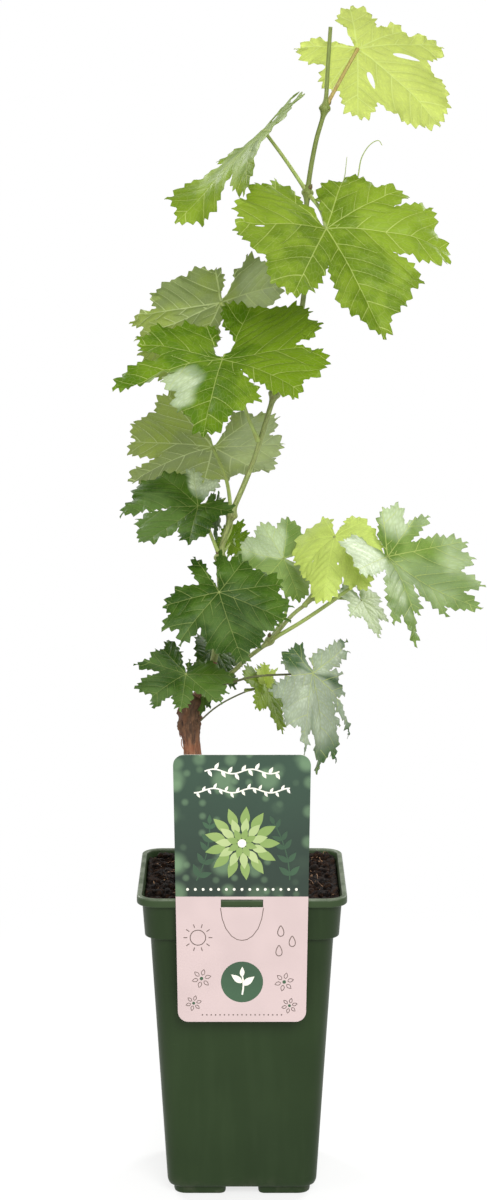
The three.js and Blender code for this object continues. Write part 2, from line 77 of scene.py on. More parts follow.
# The points where each stem swells.
MAIN_NODES = [9, 10, 13, 16, 18]
SIDE_NODES = [4]

# at: where the stalk meets the blade. aim: heading of the midrib in plan, its dip below level
# and the turn about it, in degrees. size: length of the midrib. left and right: angle from the
# midrib and reach, as a share of size, of the three lobes of each side. sinus: reach of the
# inner and outer sinus, left then right. bend: how far, in degrees, the midrib, the left and
# right lobes and the base curl down over their length. cup: how far each half folds up.
# stalk: where the stalk leaves its limb and the points that it passes. tone: the leaf's colours.
LEAVES = {
    "top": dict(
        at=[65, 8, 657], aim=[25, 30, -35], size=67, tone="sunlit",
        left=[[50, .8], [80, .6], [145, .5]], right=[[60, .8], [80, .65], [135, .6]],
        sinus=[.35, .5, .3, .5], bend=[30, 10, 35, 30], cup=[0, 0],
        stalk=[[46.5, 0, 624], [56, 4, 641]]),
    "upper_left": dict(
        at=[12, -5, 612], aim=[180, 45, 0], size=73, tone="fresh",
        left=[[50, .85], [95, .7], [150, .6]], right=[[50, .85], [95, .7], [150, .5]],
        sinus=[.55, .5, .6, .5], bend=[5, 10, 0, -10], cup=[-8, 18],
        stalk=[[37, 0, 577], [24, -2, 596]]),
    "upper_right": dict(
        at=[47, -24, 558], aim=[-55, 40, 10], size=79, tone="bright",
        left=[[60, .95], [100, .7], [140, .5]], right=[[45, .85], [100, .7], [160, .6]],
        sinus=[.5, .5, .4, .6], bend=[20, 45, 20, 25], cup=[25, 15],
        stalk=[[37, 0, 577], [44, -10, 568]]),
    "back_left": dict(
        at=[-12, 16, 514], aim=[130, 55, -5], size=68, tone="mid",
        left=[[55, .8], [75, .9], [150, .4]], right=[[50, .85], [100, .7], [175, .45]],
        sinus=[.55, .5, .55, .5], bend=[-15, 0, 25, -5], cup=[15, 5],
        stalk=[[18.5, 0, 463], [3, 9, 488]]),
    "front_left": dict(
        at=[-11, -32, 485], aim=[-100, 20, 0], size=70, tone="fresh",
        left=[[60, .9], [100, .9], [170, .8]], right=[[60, .95], [95, .7], [155, .5]],
        sinus=[.4, .9, .5, .5], bend=[25, 35, 45, -35], cup=[10, 15],
        stalk=[[9, -3, 437], [3, -10, 452], [-3, -20, 470]]),
    "back_low_left": dict(
        at=[-17, 24, 430], aim=[100, 40, 5], size=63, tone="mid",
        left=[[55, .9], [90, .8], [145, .85]], right=[[50, .75], [90, .65], [145, .7]],
        sinus=[.55, .5, .55, .5], bend=[-15, 25, 0, -15], cup=[5, 5],
        stalk=[[-6, -3, 394], [-9, 12, 412]]),
    "dark_left": dict(
        at=[-25, -12, 400], aim=[-135, 25, -10], size=51, tone="deep",
        left=[[35, .85], [95, .5], [140, .3]], right=[[45, .9], [105, .7], [135, .6]],
        sinus=[.55, .5, .35, .5], bend=[-10, 0, 35, 5], cup=[10, 20],
        stalk=[[-12.5, -3, 369], [-21, -9, 391]]),
    "folded": dict(
        at=[-15, 4, 397], aim=[-85, 85, 70], size=21, tone="deep",
        left=[[50, .85], [100, .7], [155, .5]], right=[[45, .9], [100, .7], [155, .5]],
        sinus=[.55, .5, .55, .5], bend=[0, 5, 20, 20], cup=[15, 5],
        stalk=[[-12, -3, 374], [-6, 6, 386], [-8, 9, 395]]),
    "front_middle": dict(
        at=[-13, -28, 353], aim=[-70, 45, 5], size=56, tone="deep",
        left=[[55, .8], [90, .75], [135, .6]], right=[[50, .75], [90, .6], [165, .5]],
        sinus=[.55, .5, .5, .5], bend=[-15, 15, 40, 15], cup=[5, -5],
        stalk=[[-13, -4, 339], [-13, -14, 344]]),
    "back_middle": dict(
        at=[24, 20, 365], aim=[195, -5, -50], size=39, tone="silvery",
        left=[[50, .9], [105, .75], [155, .5]], right=[[60, .65], [100, .7], [155, .5]],
        sinus=[.55, .5, .55, .5], bend=[-50, 30, 10, 20], cup=[5, 15],
        stalk=[[16, -10, 322], [26, 8, 338], [23, 26, 355]]),
    "pale_right": dict(
        at=[53, -8, 382], aim=[-105, 40, 0], size=45, tone="pale",
        left=[[40, .9], [105, .6], [140, .45]], right=[[45, .65], [95, .7], [150, .5]],
        sinus=[.7, .5, .55, .5], bend=[20, 40, 60, 35], cup=[-5, -10],
        stalk=[[36, -10, 342.5], [47, -10, 360]]),
    "far_right": dict(
        at=[83, -18, 372], aim=[-10, 40, 20], size=63, tone="silvery",
        left=[[55, .85], [95, .7], [135, .5]], right=[[40, 1.05], [100, .7], [160, .35]],
        sinus=[.55, .45, .4, .5], bend=[-30, 0, 30, -5], cup=[25, 15],
        stalk=[[16, -10, 322], [35, -13, 334], [60, -15, 352]]),
    "small_right": dict(
        at=[69, 4, 343], aim=[-55, 45, -10], size=27, tone="silvery",
        left=[[50, .8], [100, .7], [155, .5]], right=[[55, .85], [100, .7], [155, .5]],
        sinus=[.55, .5, .55, .5], bend=[5, 25, 10, 20], cup=[5, 10],
        stalk=[[40, -9, 346], [58, -1, 345]]),
    "low_left": dict(
        at=[-32, -30, 306], aim=[-95, 30, -5], size=42, tone="deep",
        left=[[45, .75], [95, .7], [175, .4]], right=[[40, .85], [100, .7], [140, .7]],
        sinus=[.45, .6, .45, .4], bend=[-10, 20, 35, 5], cup=[5, 15],
        stalk=[[-20, -9, 299], [-27, -17, 303]]),
    "low_right": dict(
        at=[40, -22, 305], aim=[-35, 70, 0], size=61, tone="hoary",
        left=[[45, .95], [105, .7], [155, .5]], right=[[40, .9], [95, .7], [145, .35]],
        sinus=[.35, .35, .7, .5], bend=[35, 50, 0, 15], cup=[15, 5],
        stalk=[[-22, -9, 294], [-10, -13, 297], [7, -16, 302], [29, -19, 304]]),
    "low_pale": dict(
        at=[13, 6, 293], aim=[-45, 55, -15], size=32, tone="fresh",
        left=[[55, .8], [100, .65], [155, .5]], right=[[55, .85], [100, .7], [155, .5]],
        sinus=[.55, .5, .55, .5], bend=[10, 20, 20, 30], cup=[0, 10],
        stalk=[[-29, -10, 270], [-16, -4, 281], [-3, 4, 287]]),
    "low_dark": dict(
        at=[-16, 14, 313], aim=[-20, 55, 15], size=28, tone="deep",
        left=[[45, .9], [100, .7], [155, .5]], right=[[50, .9], [85, .7], [155, .5]],
        sinus=[.55, .5, .55, .5], bend=[15, 25, 30, 20], cup=[5, 5],
        stalk=[[-17, -8, 306], [-24, 3, 305], [-23, 20, 307]]),
}
SMALL = dict(
    left=[[50, .85], [100, .7], [155, .5]], right=[[48, .9], [100, .7], [155, .5]],
    sinus=[.55, .5, .55, .5], cup=[12, 8])
# Leaves too small for the frame: by the head of the trunk, in the crown and over a pale leaf.
YOUNG_LEAVES = {
    "young_low": dict(
        SMALL, at=[-21, -14, 290], aim=[-130, 65, 10], size=12, bend=[5, 20, 20, 10],
        tone="deep", stalk=[[-24, -10, 287], [-22, -13, 291]]),
    "young_middle": dict(
        SMALL, at=[-7, 6, 376], aim=[30, -60, 15], size=17, bend=[10, 20, 10, 10],
        tone="fresh", stalk=[[-12.5, -3, 369], [-10, 3, 372]]),
    "young_pale": dict(
        SMALL, at=[13, 5, 295], aim=[80, -75, 10], size=13, bend=[20, 30, 30, 10],
        tone="pale", stalk=[[2, 4, 290], [8, 5, 291]]),
}

# What a leaf has beyond the part's table, or in its place. left_edge and right_edge: angle from the
# midrib and reach of each notch and tip in turn, from the midrib's tip to the base. full and rest:
# how full a lobe's shoulders are, and how round its notches. end: reach of the midrib's tip. mouth:
# degrees that the opening at the stalk is turned by. gap: its half width, in degrees, and where its
# outer bend lies on the way to the last tip. holes: angle, start, end and width of gaps in the
# blade. rib and wave: strength of its quilting and of its waves. twist: how far, in degrees, it
# turns about its midrib. slim: its stalk's share of the usual thickness. silver and light: angle,
# half width, start, end and amount of patches of painted sheen, which stands for the lights'
# reflection and in places for the paler underside, and of painted light, where a lobe is painted
# paler as if lit.
DRESS = {
    "top": dict(
        full=.72, rib=.3, holes=[[-37, .30, .54, .055], [31, .27, .45, .05]],
        left_edge=[[33, .61], [48, .8], [68, .53], [84, .53], [103, .36], [143, .53]],
        right_edge=[[40, .62], [58, .8], [73, .56], [86, .54], [100, .34], [133, .6]]),
    "upper_left": dict(
        full=.6, tone="bright", wave=.5, cup=[-6, 4], twist=-62, aim=[180, 45, 4],
        bend=[5, 30, 10, -10], rib=.5, light=[[0, 190, .35, 1.1, .3]],
        left_edge=[[4, .94], [11, .88], [19, .44], [46, .66], [80, .42], [138, .55]],
        right_edge=[[6, .93], [15, .95], [25, .44], [48, .6], [82, .42], [117, .66]]),
    "upper_right": dict(
        full=.75, light=[[80, 50, .2, 1, .7], [-125, 50, .3, 1, .6]],
        left_edge=[[8, .87], [17, .85], [25, .79], [33, .82], [41, .52], [55, .95], [70, .82],
                   [84, .84], [87, .54], [94, .7], [112, .56], [132, .56], [145, .48], [157, .44]],
        right_edge=[[6, .87], [14, .82], [26, .41], [48, .86], [72, .68], [95, .76], [103, .66],
                    [114, .7], [130, .62], [150, .62], [161, .56], [172, .62]],
        holes=[[-97, .50, .58, .03]]),
    "back_left": dict(
        full=.7, light=[[40, 40, .35, 1.2, 1.0]], rib=1.3,
        left_edge=[[22, .86], [38, .84], [46, .74], [55, .8], [62, .72], [70, .84], [80, .62],
                   [92, .70], [110, .55], [131, .5], [142, .42], [150, .42]],
        silver=[[-100, 50, .15, 1, .3]],
        right_edge=[[32, .2], [62, .76], [76, .66], [94, .72], [104, .6], [116, .63], [140, .5],
                    [174, .5]]),
    "front_left": dict(
        full=.72, mouth=11, gap=[19, .3], silver=[[-35, 20, .28, .78, .8]],
        light=[[95, 70, .25, 1, 1.0]],
        left_edge=[[17, .78], [34, .74], [40, .3], [52, .85], [68, .78], [85, .9], [104, .62],
                   [116, .88], [125, .82], [134, .9], [160, .74], [187, .77]],
        right_edge=[[9, .84], [17, .8], [28, .62], [45, .6], [54, .44], [65, .95], [79, .51],
                    [99, .74], [106, .66], [112, .7], [126, .58], [139, .58], [152, .48], [163, .48]]),
    "back_low_left": dict(
        full=.78, rib=1.2, light=[[130, 60, .3, 1, .5]], gap=[18, .3],
        silver=[[-95, 55, .1, 1, .3]],
        left_edge=[[30, .72], [57, .9], [67, .5], [79, .8], [91, .74], [104, .81], [125, .72],
                   [147, .9]],
        right_edge=[[14, .66], [28, .64], [42, .60], [58, .76], [70, .64], [83, .69], [106, .55],
                    [131, .7]]),
    "dark_left": dict(
        full=.7, end=.93, silver=[[-149, 25, .14, .9, 1.0]],
        light=[[-25, 40, .2, 1, .6], [-112, 24, .2, .9, .5]],
        bend=[-10, 0, 35, 32],
        right_edge=[[18, .8], [36, .72], [46, .3], [51, .92], [68, .82], [85, .88], [98, .78],
                    [111, .8], [122, .62], [135, .8], [147, .45], [159, .64]]),
    "folded": dict(full=.5, silver=[[90, 40, .3, 1, .5]]),
    "front_middle": dict(
        full=.55, rest=.25, light=[[120, 60, .1, .9, .3], [-60, 30, .5, 1, .2]],
        left_edge=[[9, .82], [18, .8], [30, .66], [45, .72], [50, .66], [56, .8], [62, .7],
                   [69, .78], [80, .62], [94, .7], [118, .48], [142, .54], [152, .44], [165, .54]],
        right_edge=[[6, .8], [11, .8], [37, .48], [47, .72], [58, .6], [70, .71], [79, .56],
                    [89, .60], [131, .24], [166, .54]]),
    "back_middle": dict(full=.65, silver=[[-40, 55, .0, 1, .55], [165, 40, .0, .8, .4]], wave=.7),
    "pale_right": dict(
        full=.8, rest=.2, rib=.6, holes=[[-36, .40, .45, .02], [15, .41, .45, .022]],
        left_edge=[[19, .64], [24, .82], [30, .78], [37, .88], [55, .66], [74, .68], [110, .56],
                   [154, .52]],
        right_edge=[[22, .7], [44, .68], [58, .62], [74, .68], [90, .64], [106, .69], [128, .52],
                    [150, .52]]),
    "far_right": dict(
        full=.6, rest=.3, wave=.6, gap=[26, .8],
        silver=[[-118, 42, .05, 1, 1.0], [116, 26, .2, 1, .8], [-75, 28, .1, .7, .28],
                [60, 45, .45, 1, .4], [0, 40, .05, .7, .18]],
        left_edge=[[10, .78], [18, .95], [28, .72], [40, .86], [47, .76], [54, .86], [75, .3],
                   [86, .65], [102, .42], [120, .58], [127, .5], [134, .5]],
        right_edge=[[13, .72], [18, .82], [23, .38], [36, .7], [40, .66], [46, 1.06], [56, .8],
                    [63, .97], [80, .34], [97, .76], [112, .66], [124, .7], [140, .5],
                    [158, .38]]),
    "small_right": dict(full=.4, rest=.3, silver=[[20, 150, 0, 1.1, 1.0]], wave=.5),
    "low_left": dict(
        full=.5, rest=.3, end=.84, light=[[60, 80, .1, 1, .8]],
        left_edge=[[22, .36], [48, .75], [55, .64], [63, .7], [74, .56],
                   [88, .72], [110, .5], [140, .42], [160, .2], [176, .32]],
        right_edge=[[18, .5], [27, .84], [42, .66], [60, .78], [80, .38], [91, .74],
                    [105, .56], [130, .6], [142, .58], [155, .74]]),
    "low_right": dict(
        full=.3, rest=.3, wave=.9, slim=.6,
        silver=[[-66, 42, 0, .84, .62], [118, 52, 0, .6, .72], [15, 50, 0, .72, .55],
                [180, 60, 0, .18, .4]], light=[[-10, 40, .5, 1, .6], [112, 20, .5, 1, .7],
                                               [-150, 50, 0, 1, .8]],
        left_edge=[[12, .82], [21, 1.0], [24, .6], [27, .64], [31, .36], [39, .93], [46, .42],
                   [55, .5], [66, .38], [80, .42], [86, .26], [100, .66], [104, .6],
                   [108, .72], [128, .3], [150, .2]],
        right_edge=[[27, .58], [36, .9], [47, .68], [64, .84], [72, .68], [87, .78],
                    [97, .36], [110, .52], [150, .34], [172, .3]]),
    "low_pale": dict(full=.5, rest=.3, wave=.6, tone="bright", slim=.55),
    "young_pale": dict(cup=[62, 62], aim=[88, -60, 10]),
    "low_dark": dict(full=.5, rest=.3),
}

# Tendrils as points and the radius at the foot, in mm.
TENDRILS = (
    ([(37, 0, 577), (41, -1, 572), (45.1, -2, 569), (50.9, 2, 572.8), (58.3, 4, 576.7),
      (64.5, 6, 582.8), (67.8, 6, 596.8), (72.8, 5, 604.1), (77.1, 4, 606), (79.0, 4, 603.4)], 0.62),
    ([(50.9, 2, 572.8), (55.4, 4, 578.3), (58, 6, 585.6), (58.8, 6, 591.7), (59.3, 5.5, 596.8)], 0.42),
    ([(45.1, -2, 569), (47.9, -4, 565.2), (49.6, -6, 561.4), (47.3, -8, 558.7)], 0.45),
)

# ---- heights and places of the soil and the label, in mm ----
SOIL_HALF = 55.6  # half the width of the soil's top
SOIL_LEVEL = 172  # where the trunk leaves the soil
SOIL_FLOOR = 160.0  # underside of the soil's block
SOIL_LIMIT = 179.8  # the soil stays under the rim
HEAD_HEIGHT = 277  # the knobbly head of the trunk
LABEL_LOW, LABEL_HIGH = 110.5, 266
LABEL_FRONT = -61.1
LABEL_THICK = 0.6
PRINT_LAYER = 0.03


# ---- curves, tubes and sheets ----
def along(points, place):
    """A place on the smooth curve through points, counted in points from the first."""
    points = np.asarray(points, float)
    last = len(points) - 1
    k = min(int(place), last - 1)
    t = place - k
    before = points[k - 1] if k > 0 else 2 * points[0] - points[1]
    after = points[k + 2] if k + 2 <= last else 2 * points[last] - points[last - 1]
    a, b = points[k], points[k + 1]
    gaps = [np.sqrt(np.linalg.norm(q - p)) for p, q in ((before, a), (a, b), (b, after))]
    d0, d1, d2 = [g if g > 1e-4 else gaps[1] for g in gaps]
    start = ((a - before) / d0 - (b - before) / (d0 + d1) + (b - a) / d1) * d1
    end = ((b - a) / d1 - (after - a) / (d1 + d2) + (after - b) / d2) * d1
    return (
        a + start * t + (3 * (b - a) - 2 * start - end) * t**2
        + (2 * (a - b) + start + end) * t**3
    )


def smooth_path(points, step, first=0.0, last=None):
    """Points about step mm apart on the smooth curve, and the place of each on it."""
    last = len(points) - 1 if last is None else last
    fine = np.linspace(first, last, 40 * max(1, math.ceil(last - first)) + 1)
    line = np.array([along(points, u) for u in fine])
    lengths = np.concatenate([[0], np.cumsum(np.linalg.norm(np.diff(line, axis=0), axis=1))])
    count = max(3, round(lengths[-1] / step) + 1)
    at = np.linspace(0, lengths[-1], count)
    path = np.stack([np.interp(at, lengths, line[:, i]) for i in range(3)], axis=1)
    return path, np.interp(at, lengths, fine)


def ring_faces(rings, count):
    """Four-sided faces between closed rings of count points."""
    faces = []
    for k in range(rings - 1):
        for i in range(count):
            a, b = k * count + i, k * count + (i + 1) % count
            faces.append((a, b, b + count, a + count))
    return faces


def add_object(name, data):
    """A new object in the scene."""
    obj = bpy.data.objects.new(name, data)
    bpy.context.scene.collection.objects.link(obj)
    return obj


def unit(v):
    """v, or each row of v, at length one."""
    v = np.asarray(v, float)
    return v / np.maximum(np.linalg.norm(v, axis=-1, keepdims=True), 1e-12)


class Shape:
    """A mesh in the making: points in mm, faces, the slot of each face, and vectors for the grain."""

    def __init__(self):
        self.points, self.faces, self.slots, self.grain = [], [], [], []

    def add(self, points, faces, slot=0, grain=None):
        """Adds a closed piece."""
        base = len(self.points)
        self.points.extend(map(tuple, points))
        self.faces.extend(tuple(base + i for i in f) for f in faces)
        self.slots.extend(slot if isinstance(slot, list) else [slot] * len(faces))
        self.grain.extend(map(tuple, points if grain is None else grain))

    def tube(self, path, radii, sides, relief=None, ends=("round", "round"), slot=0, cut_slot=None):
        """A closed tube. relief(angles, k) is added to ring k's radius. A round end is a dome."""
        path = np.asarray(path, float)
        radii = np.asarray(radii, float) * np.ones(len(path))
        tangents = unit(np.gradient(path, axis=0))
        travel = np.concatenate([[0], np.cumsum(np.linalg.norm(np.diff(path, axis=0), axis=1))])
        side = unit(np.cross(tangents[0], [0.2, 1, 0.1]))
        angles = np.arange(sides) * 2 * math.pi / sides
        rings, grains = [], []

        def ring(middle, across, up, reach, run):
            turned = np.outer(np.cos(angles), across) + np.outer(np.sin(angles), up)
            rings.append(middle + turned * np.reshape(reach * np.ones(sides), (-1, 1)))
            lengths = np.full(sides, run / 10)
            grains.append(np.stack([np.cos(angles), np.sin(angles), lengths], axis=1))

        for k, middle in enumerate(path):
            side = unit(side - tangents[k] * np.dot(side, tangents[k]))
            up = np.cross(tangents[k], side)
            reach = radii[k] + (relief(angles, k) if relief is not None else 0)
            if k == 0 and ends[0] == "round":
                for t in (0.35, 0.75):
                    back = tangents[0] * radii[0] * 0.7 * math.cos(t * math.pi / 2)
                    ring(middle - back, side, up, reach * math.sin(t * math.pi / 2), travel[0])
            ring(middle, side, up, reach, travel[k])
            if k == len(path) - 1 and ends[1] == "round":
                for t in (0.75, 0.35):
                    out = tangents[k] * radii[k] * 0.7 * math.cos(t * math.pi / 2)
                    ring(middle + out, side, up, reach * math.sin(t * math.pi / 2), travel[k])
        points = np.concatenate(rings)
        grain = np.concatenate(grains)
        faces = ring_faces(len(rings), sides)
        body_faces = len(faces)
        last = (len(rings) - 1) * sides
        hubs = [points[:sides].mean(axis=0), points[last:].mean(axis=0)]
        for which, (start, hub) in enumerate(zip((0, last), hubs)):
            if ends[which] == "round":
                hub = hub + tangents[-which] * (1 if which else -1) * radii[-which] * 0.1
            middle = len(points)
            points = np.vstack([points, hub])
            grain = np.vstack([grain, [0, 0, grain[start][2]]])
            for i in range(sides):
                a, b = start + i, start + (i + 1) % sides
                faces.append((middle, a, b) if which else (middle, b, a))
        slots = [slot] * body_faces + [slot if cut_slot is None else cut_slot] * (2 * sides)
        if cut_slot is not None and ends[0] == "round":
            slots[body_faces:body_faces + sides] = [slot] * sides
        self.add(points, faces, slots, grain)

    def build(self, name, materials, sharp=None):
        """The finished object, in metres, with its grain attribute."""
        mesh = bpy.data.meshes.new(name)
        mesh.from_pydata((np.array(self.points) * MM).tolist(), [], self.faces)
        mesh.polygons.foreach_set("use_smooth", [True] * len(self.faces))
        for material in materials:
            mesh.materials.append(material)
        mesh.polygons.foreach_set("material_index", self.slots)
        layer = mesh.attributes.new("grain", "FLOAT_VECTOR", "POINT")
        layer.data.foreach_set("vector", np.array(self.grain, float).ravel())
        mesh.update()
        if sharp is not None:
            mesh.set_sharp_from_angle(angle=math.radians(sharp))
        return add_object(name, mesh)


def inside(points, outline):
    """Which points lie inside the closed outline."""
    x, y = points[:, 0][:, None], points[:, 1][:, None]
    x0, y0 = outline[:, 0][None], outline[:, 1][None]
    x1, y1 = np.roll(outline[:, 0], -1)[None], np.roll(outline[:, 1], -1)[None]
    spans = (y0 > y) != (y1 > y)
    cross = x0 + (y - y0) * (x1 - x0) / np.where(y1 == y0, 1e-12, y1 - y0)
    return (np.sum(spans & (x < cross), axis=1) % 2) == 1


def filled(outline, step, holes=()):
    """Triangles that fill an outline, with points about step apart: points, triangles, outline ids.

    The ids say which outline point each point is, or -1.
    """
    low, high = outline.min(axis=0), outline.max(axis=0)
    rows = []
    for j, y in enumerate(np.arange(low[1], high[1], step * 0.87)):
        xs = np.arange(low[0] + (j % 2) * step / 2, high[0], step)
        rows.append(np.stack([xs, np.full(len(xs), y)], axis=1))
    grid = np.concatenate(rows)
    loops = [outline, *holes]
    rim = np.concatenate(loops)
    keep = inside(grid, outline)
    for hole in holes:
        keep &= ~inside(grid, hole)
    grid = grid[keep]
    away = np.array([np.min(np.hypot(*(rim - p).T)) for p in grid]) if len(grid) else np.zeros(0)
    grid = grid[away > 0.6 * step]
    points = np.concatenate([rim, grid])
    edges, start = [], 0
    for loop in loops:
        count = len(loop)
        edges += [(start + i, start + (i + 1) % count) for i in range(count)]
        start += count
    coords = [Vector(p) for p in points.tolist()]
    found = geometry.delaunay_2d_cdt(coords, edges, [], 0, 1e-7)
    flat = np.array([tuple(v) for v in found[0]])
    ids = np.array([o[0] if o and o[0] < len(rim) else -1 for o in found[3]])
    triangles = np.array([f for f in found[2] if len(f) == 3])
    middles = flat[triangles].mean(axis=1)
    keep = inside(middles, outline)
    for hole in holes:
        keep &= ~inside(middles, hole)
    triangles = triangles[keep]
    a, b, c = (flat[triangles[:, i]] for i in range(3))
    turned = (b - a)[:, 0] * (c - a)[:, 1] - (b - a)[:, 1] * (c - a)[:, 0]
    triangles[turned < 0] = triangles[turned < 0][:, ::-1]
    triangles = triangles[np.abs(turned) > 1e-9]
    return flat, triangles, ids


def open_edges(triangles):
    """The directed edges that only one triangle has."""
    pairs = {(int(t[i]), int(t[(i + 1) % 3])) for t in triangles for i in range(3)}
    return [(a, b) for a, b in pairs if (b, a) not in pairs]


def shell_faces(triangles, total):
    """Faces of a thin shell on a sheet of total points, and the sheet's open edges."""
    front = [tuple(t) for t in triangles.tolist()]
    back = [(c + total, b + total, a + total) for a, b, c in front]
    edges = open_edges(triangles)
    sides = [(b, a, a + total, b + total) for a, b in edges]
    return front, back, sides, edges


def point_normals(points, triangles):
    """Smooth normals of a sheet."""
    a, b, c = (points[triangles[:, i]] for i in range(3))
    across = np.cross(b - a, c - a)
    total = np.zeros_like(points)
    for i in range(3):
        np.add.at(total, triangles[:, i], across)
    return unit(total)


# ---- nodes of materials ----
def tint(code):
    """A colour such as 8FB339 as linear red, green and blue."""
    parts = [int(code[i:i + 2], 16) / 255 for i in (0, 2, 4)]
    return tuple(p / 12.92 if p <= 0.04045 else ((p + 0.055) / 1.055) ** 2.4 for p in parts)


def put(tree, kind, inputs=None, **settings):
    """Adds a node. inputs maps a socket's name or number to a value, or to a socket to link."""
    made = tree.nodes.new(kind)
    for key, value in settings.items():
        setattr(made, key, value)
    for key, value in (inputs or {}).items():
        if isinstance(value, bpy.types.NodeSocket):
            tree.links.new(value, made.inputs[key])
            continue
        if hasattr(value, "__len__") and not isinstance(value, str):
            value = tuple(value)
            if made.inputs[key].type == "RGBA" and len(value) == 3:
                value = (*value, 1)
        made.inputs[key].default_value = value
    return made


def calc(tree, operation, a, b=0.0, c=0.0, clamp=False):
    """One step of arithmetic on numbers or sockets."""
    sockets = {0: a, 1: b}
    if operation == "MULTIPLY_ADD":
        sockets[2] = c
    return put(tree, "ShaderNodeMath", sockets, operation=operation, use_clamp=clamp).outputs[0]


def fade(tree, value, start, end, low=0.0, high=1.0):
    """A smooth step from low at start to high at end."""
    sockets = {"Value": value, "From Min": start, "From Max": end, "To Min": low, "To Max": high}
    return put(tree, "ShaderNodeMapRange", sockets, interpolation_type="SMOOTHSTEP").outputs[0]


def mixed(tree, share, a, b, mode="MIX"):
    """Colour a turning to colour b."""
    made = put(tree, "ShaderNodeMix", {0: share, 6: a, 7: b}, data_type="RGBA", blend_type=mode)
    return made.outputs[2]


def speckle(tree, vector, scale, detail=3.0, rough=0.55, warp=0.0):
    """Noise from 0 to 1 at that many features to a unit of vector."""
    sockets = {"Vector": vector, "Scale": scale, "Detail": detail, "Roughness": rough,
               "Distortion": warp}
    return put(tree, "ShaderNodeTexNoise", sockets).outputs["Fac"]


def stretched(tree, vector, scale):
    """vector with each axis scaled."""
    return put(tree, "ShaderNodeMapping", {"Vector": vector, "Scale": scale}).outputs[0]


def group(name, inputs, outputs):
    """An empty shader group with its sockets, and the nodes at its two ends."""
    tree = bpy.data.node_groups.new(name, "ShaderNodeTree")
    kinds = {"colour": "NodeSocketColor", "number": "NodeSocketFloat"}
    for socket, kind, default in inputs:
        made = tree.interface.new_socket(socket, in_out="INPUT", socket_type=kinds[kind])
        if kind == "colour":
            default = (*default, 1)
        made.default_value = default
    for socket, kind in outputs:
        tree.interface.new_socket(socket, in_out="OUTPUT", socket_type=kinds[kind])
    return tree, tree.nodes.new("NodeGroupInput"), tree.nodes.new("NodeGroupOutput")


def new_material(name):
    """An empty material: its tree and its output node."""
    made = bpy.data.materials.new(name)
    made.use_nodes = True
    made.node_tree.nodes.clear()
    return made, made.node_tree, made.node_tree.nodes.new("ShaderNodeOutputMaterial")


def principled(tree, output, colour, roughness, height=None, depth=MM, strength=1.0, **constants):
    """A Principled shader with a bump of that depth, joined to the output."""
    sockets = {"Base Color": colour, "Roughness": roughness}
    sockets.update({key.replace("_", " "): value for key, value in constants.items()})
    shader = put(tree, "ShaderNodeBsdfPrincipled", sockets)
    if height is not None:
        bump = put(tree, "ShaderNodeBump", {"Height": height, "Distance": depth,
                                             "Strength": strength})
        tree.links.new(bump.outputs[0], shader.inputs["Normal"])
    tree.links.new(shader.outputs[0], output.inputs[0])
    return shader


def object_place(tree):
    """Object coordinates, in metres."""
    return put(tree, "ShaderNodeTexCoord").outputs["Object"]


def grain_place(tree):
    """Coordinates that run along a stem: round it in x and y, along it in z, in centimetres."""
    return put(tree, "ShaderNodeAttribute", attribute_name="grain").outputs["Vector"]


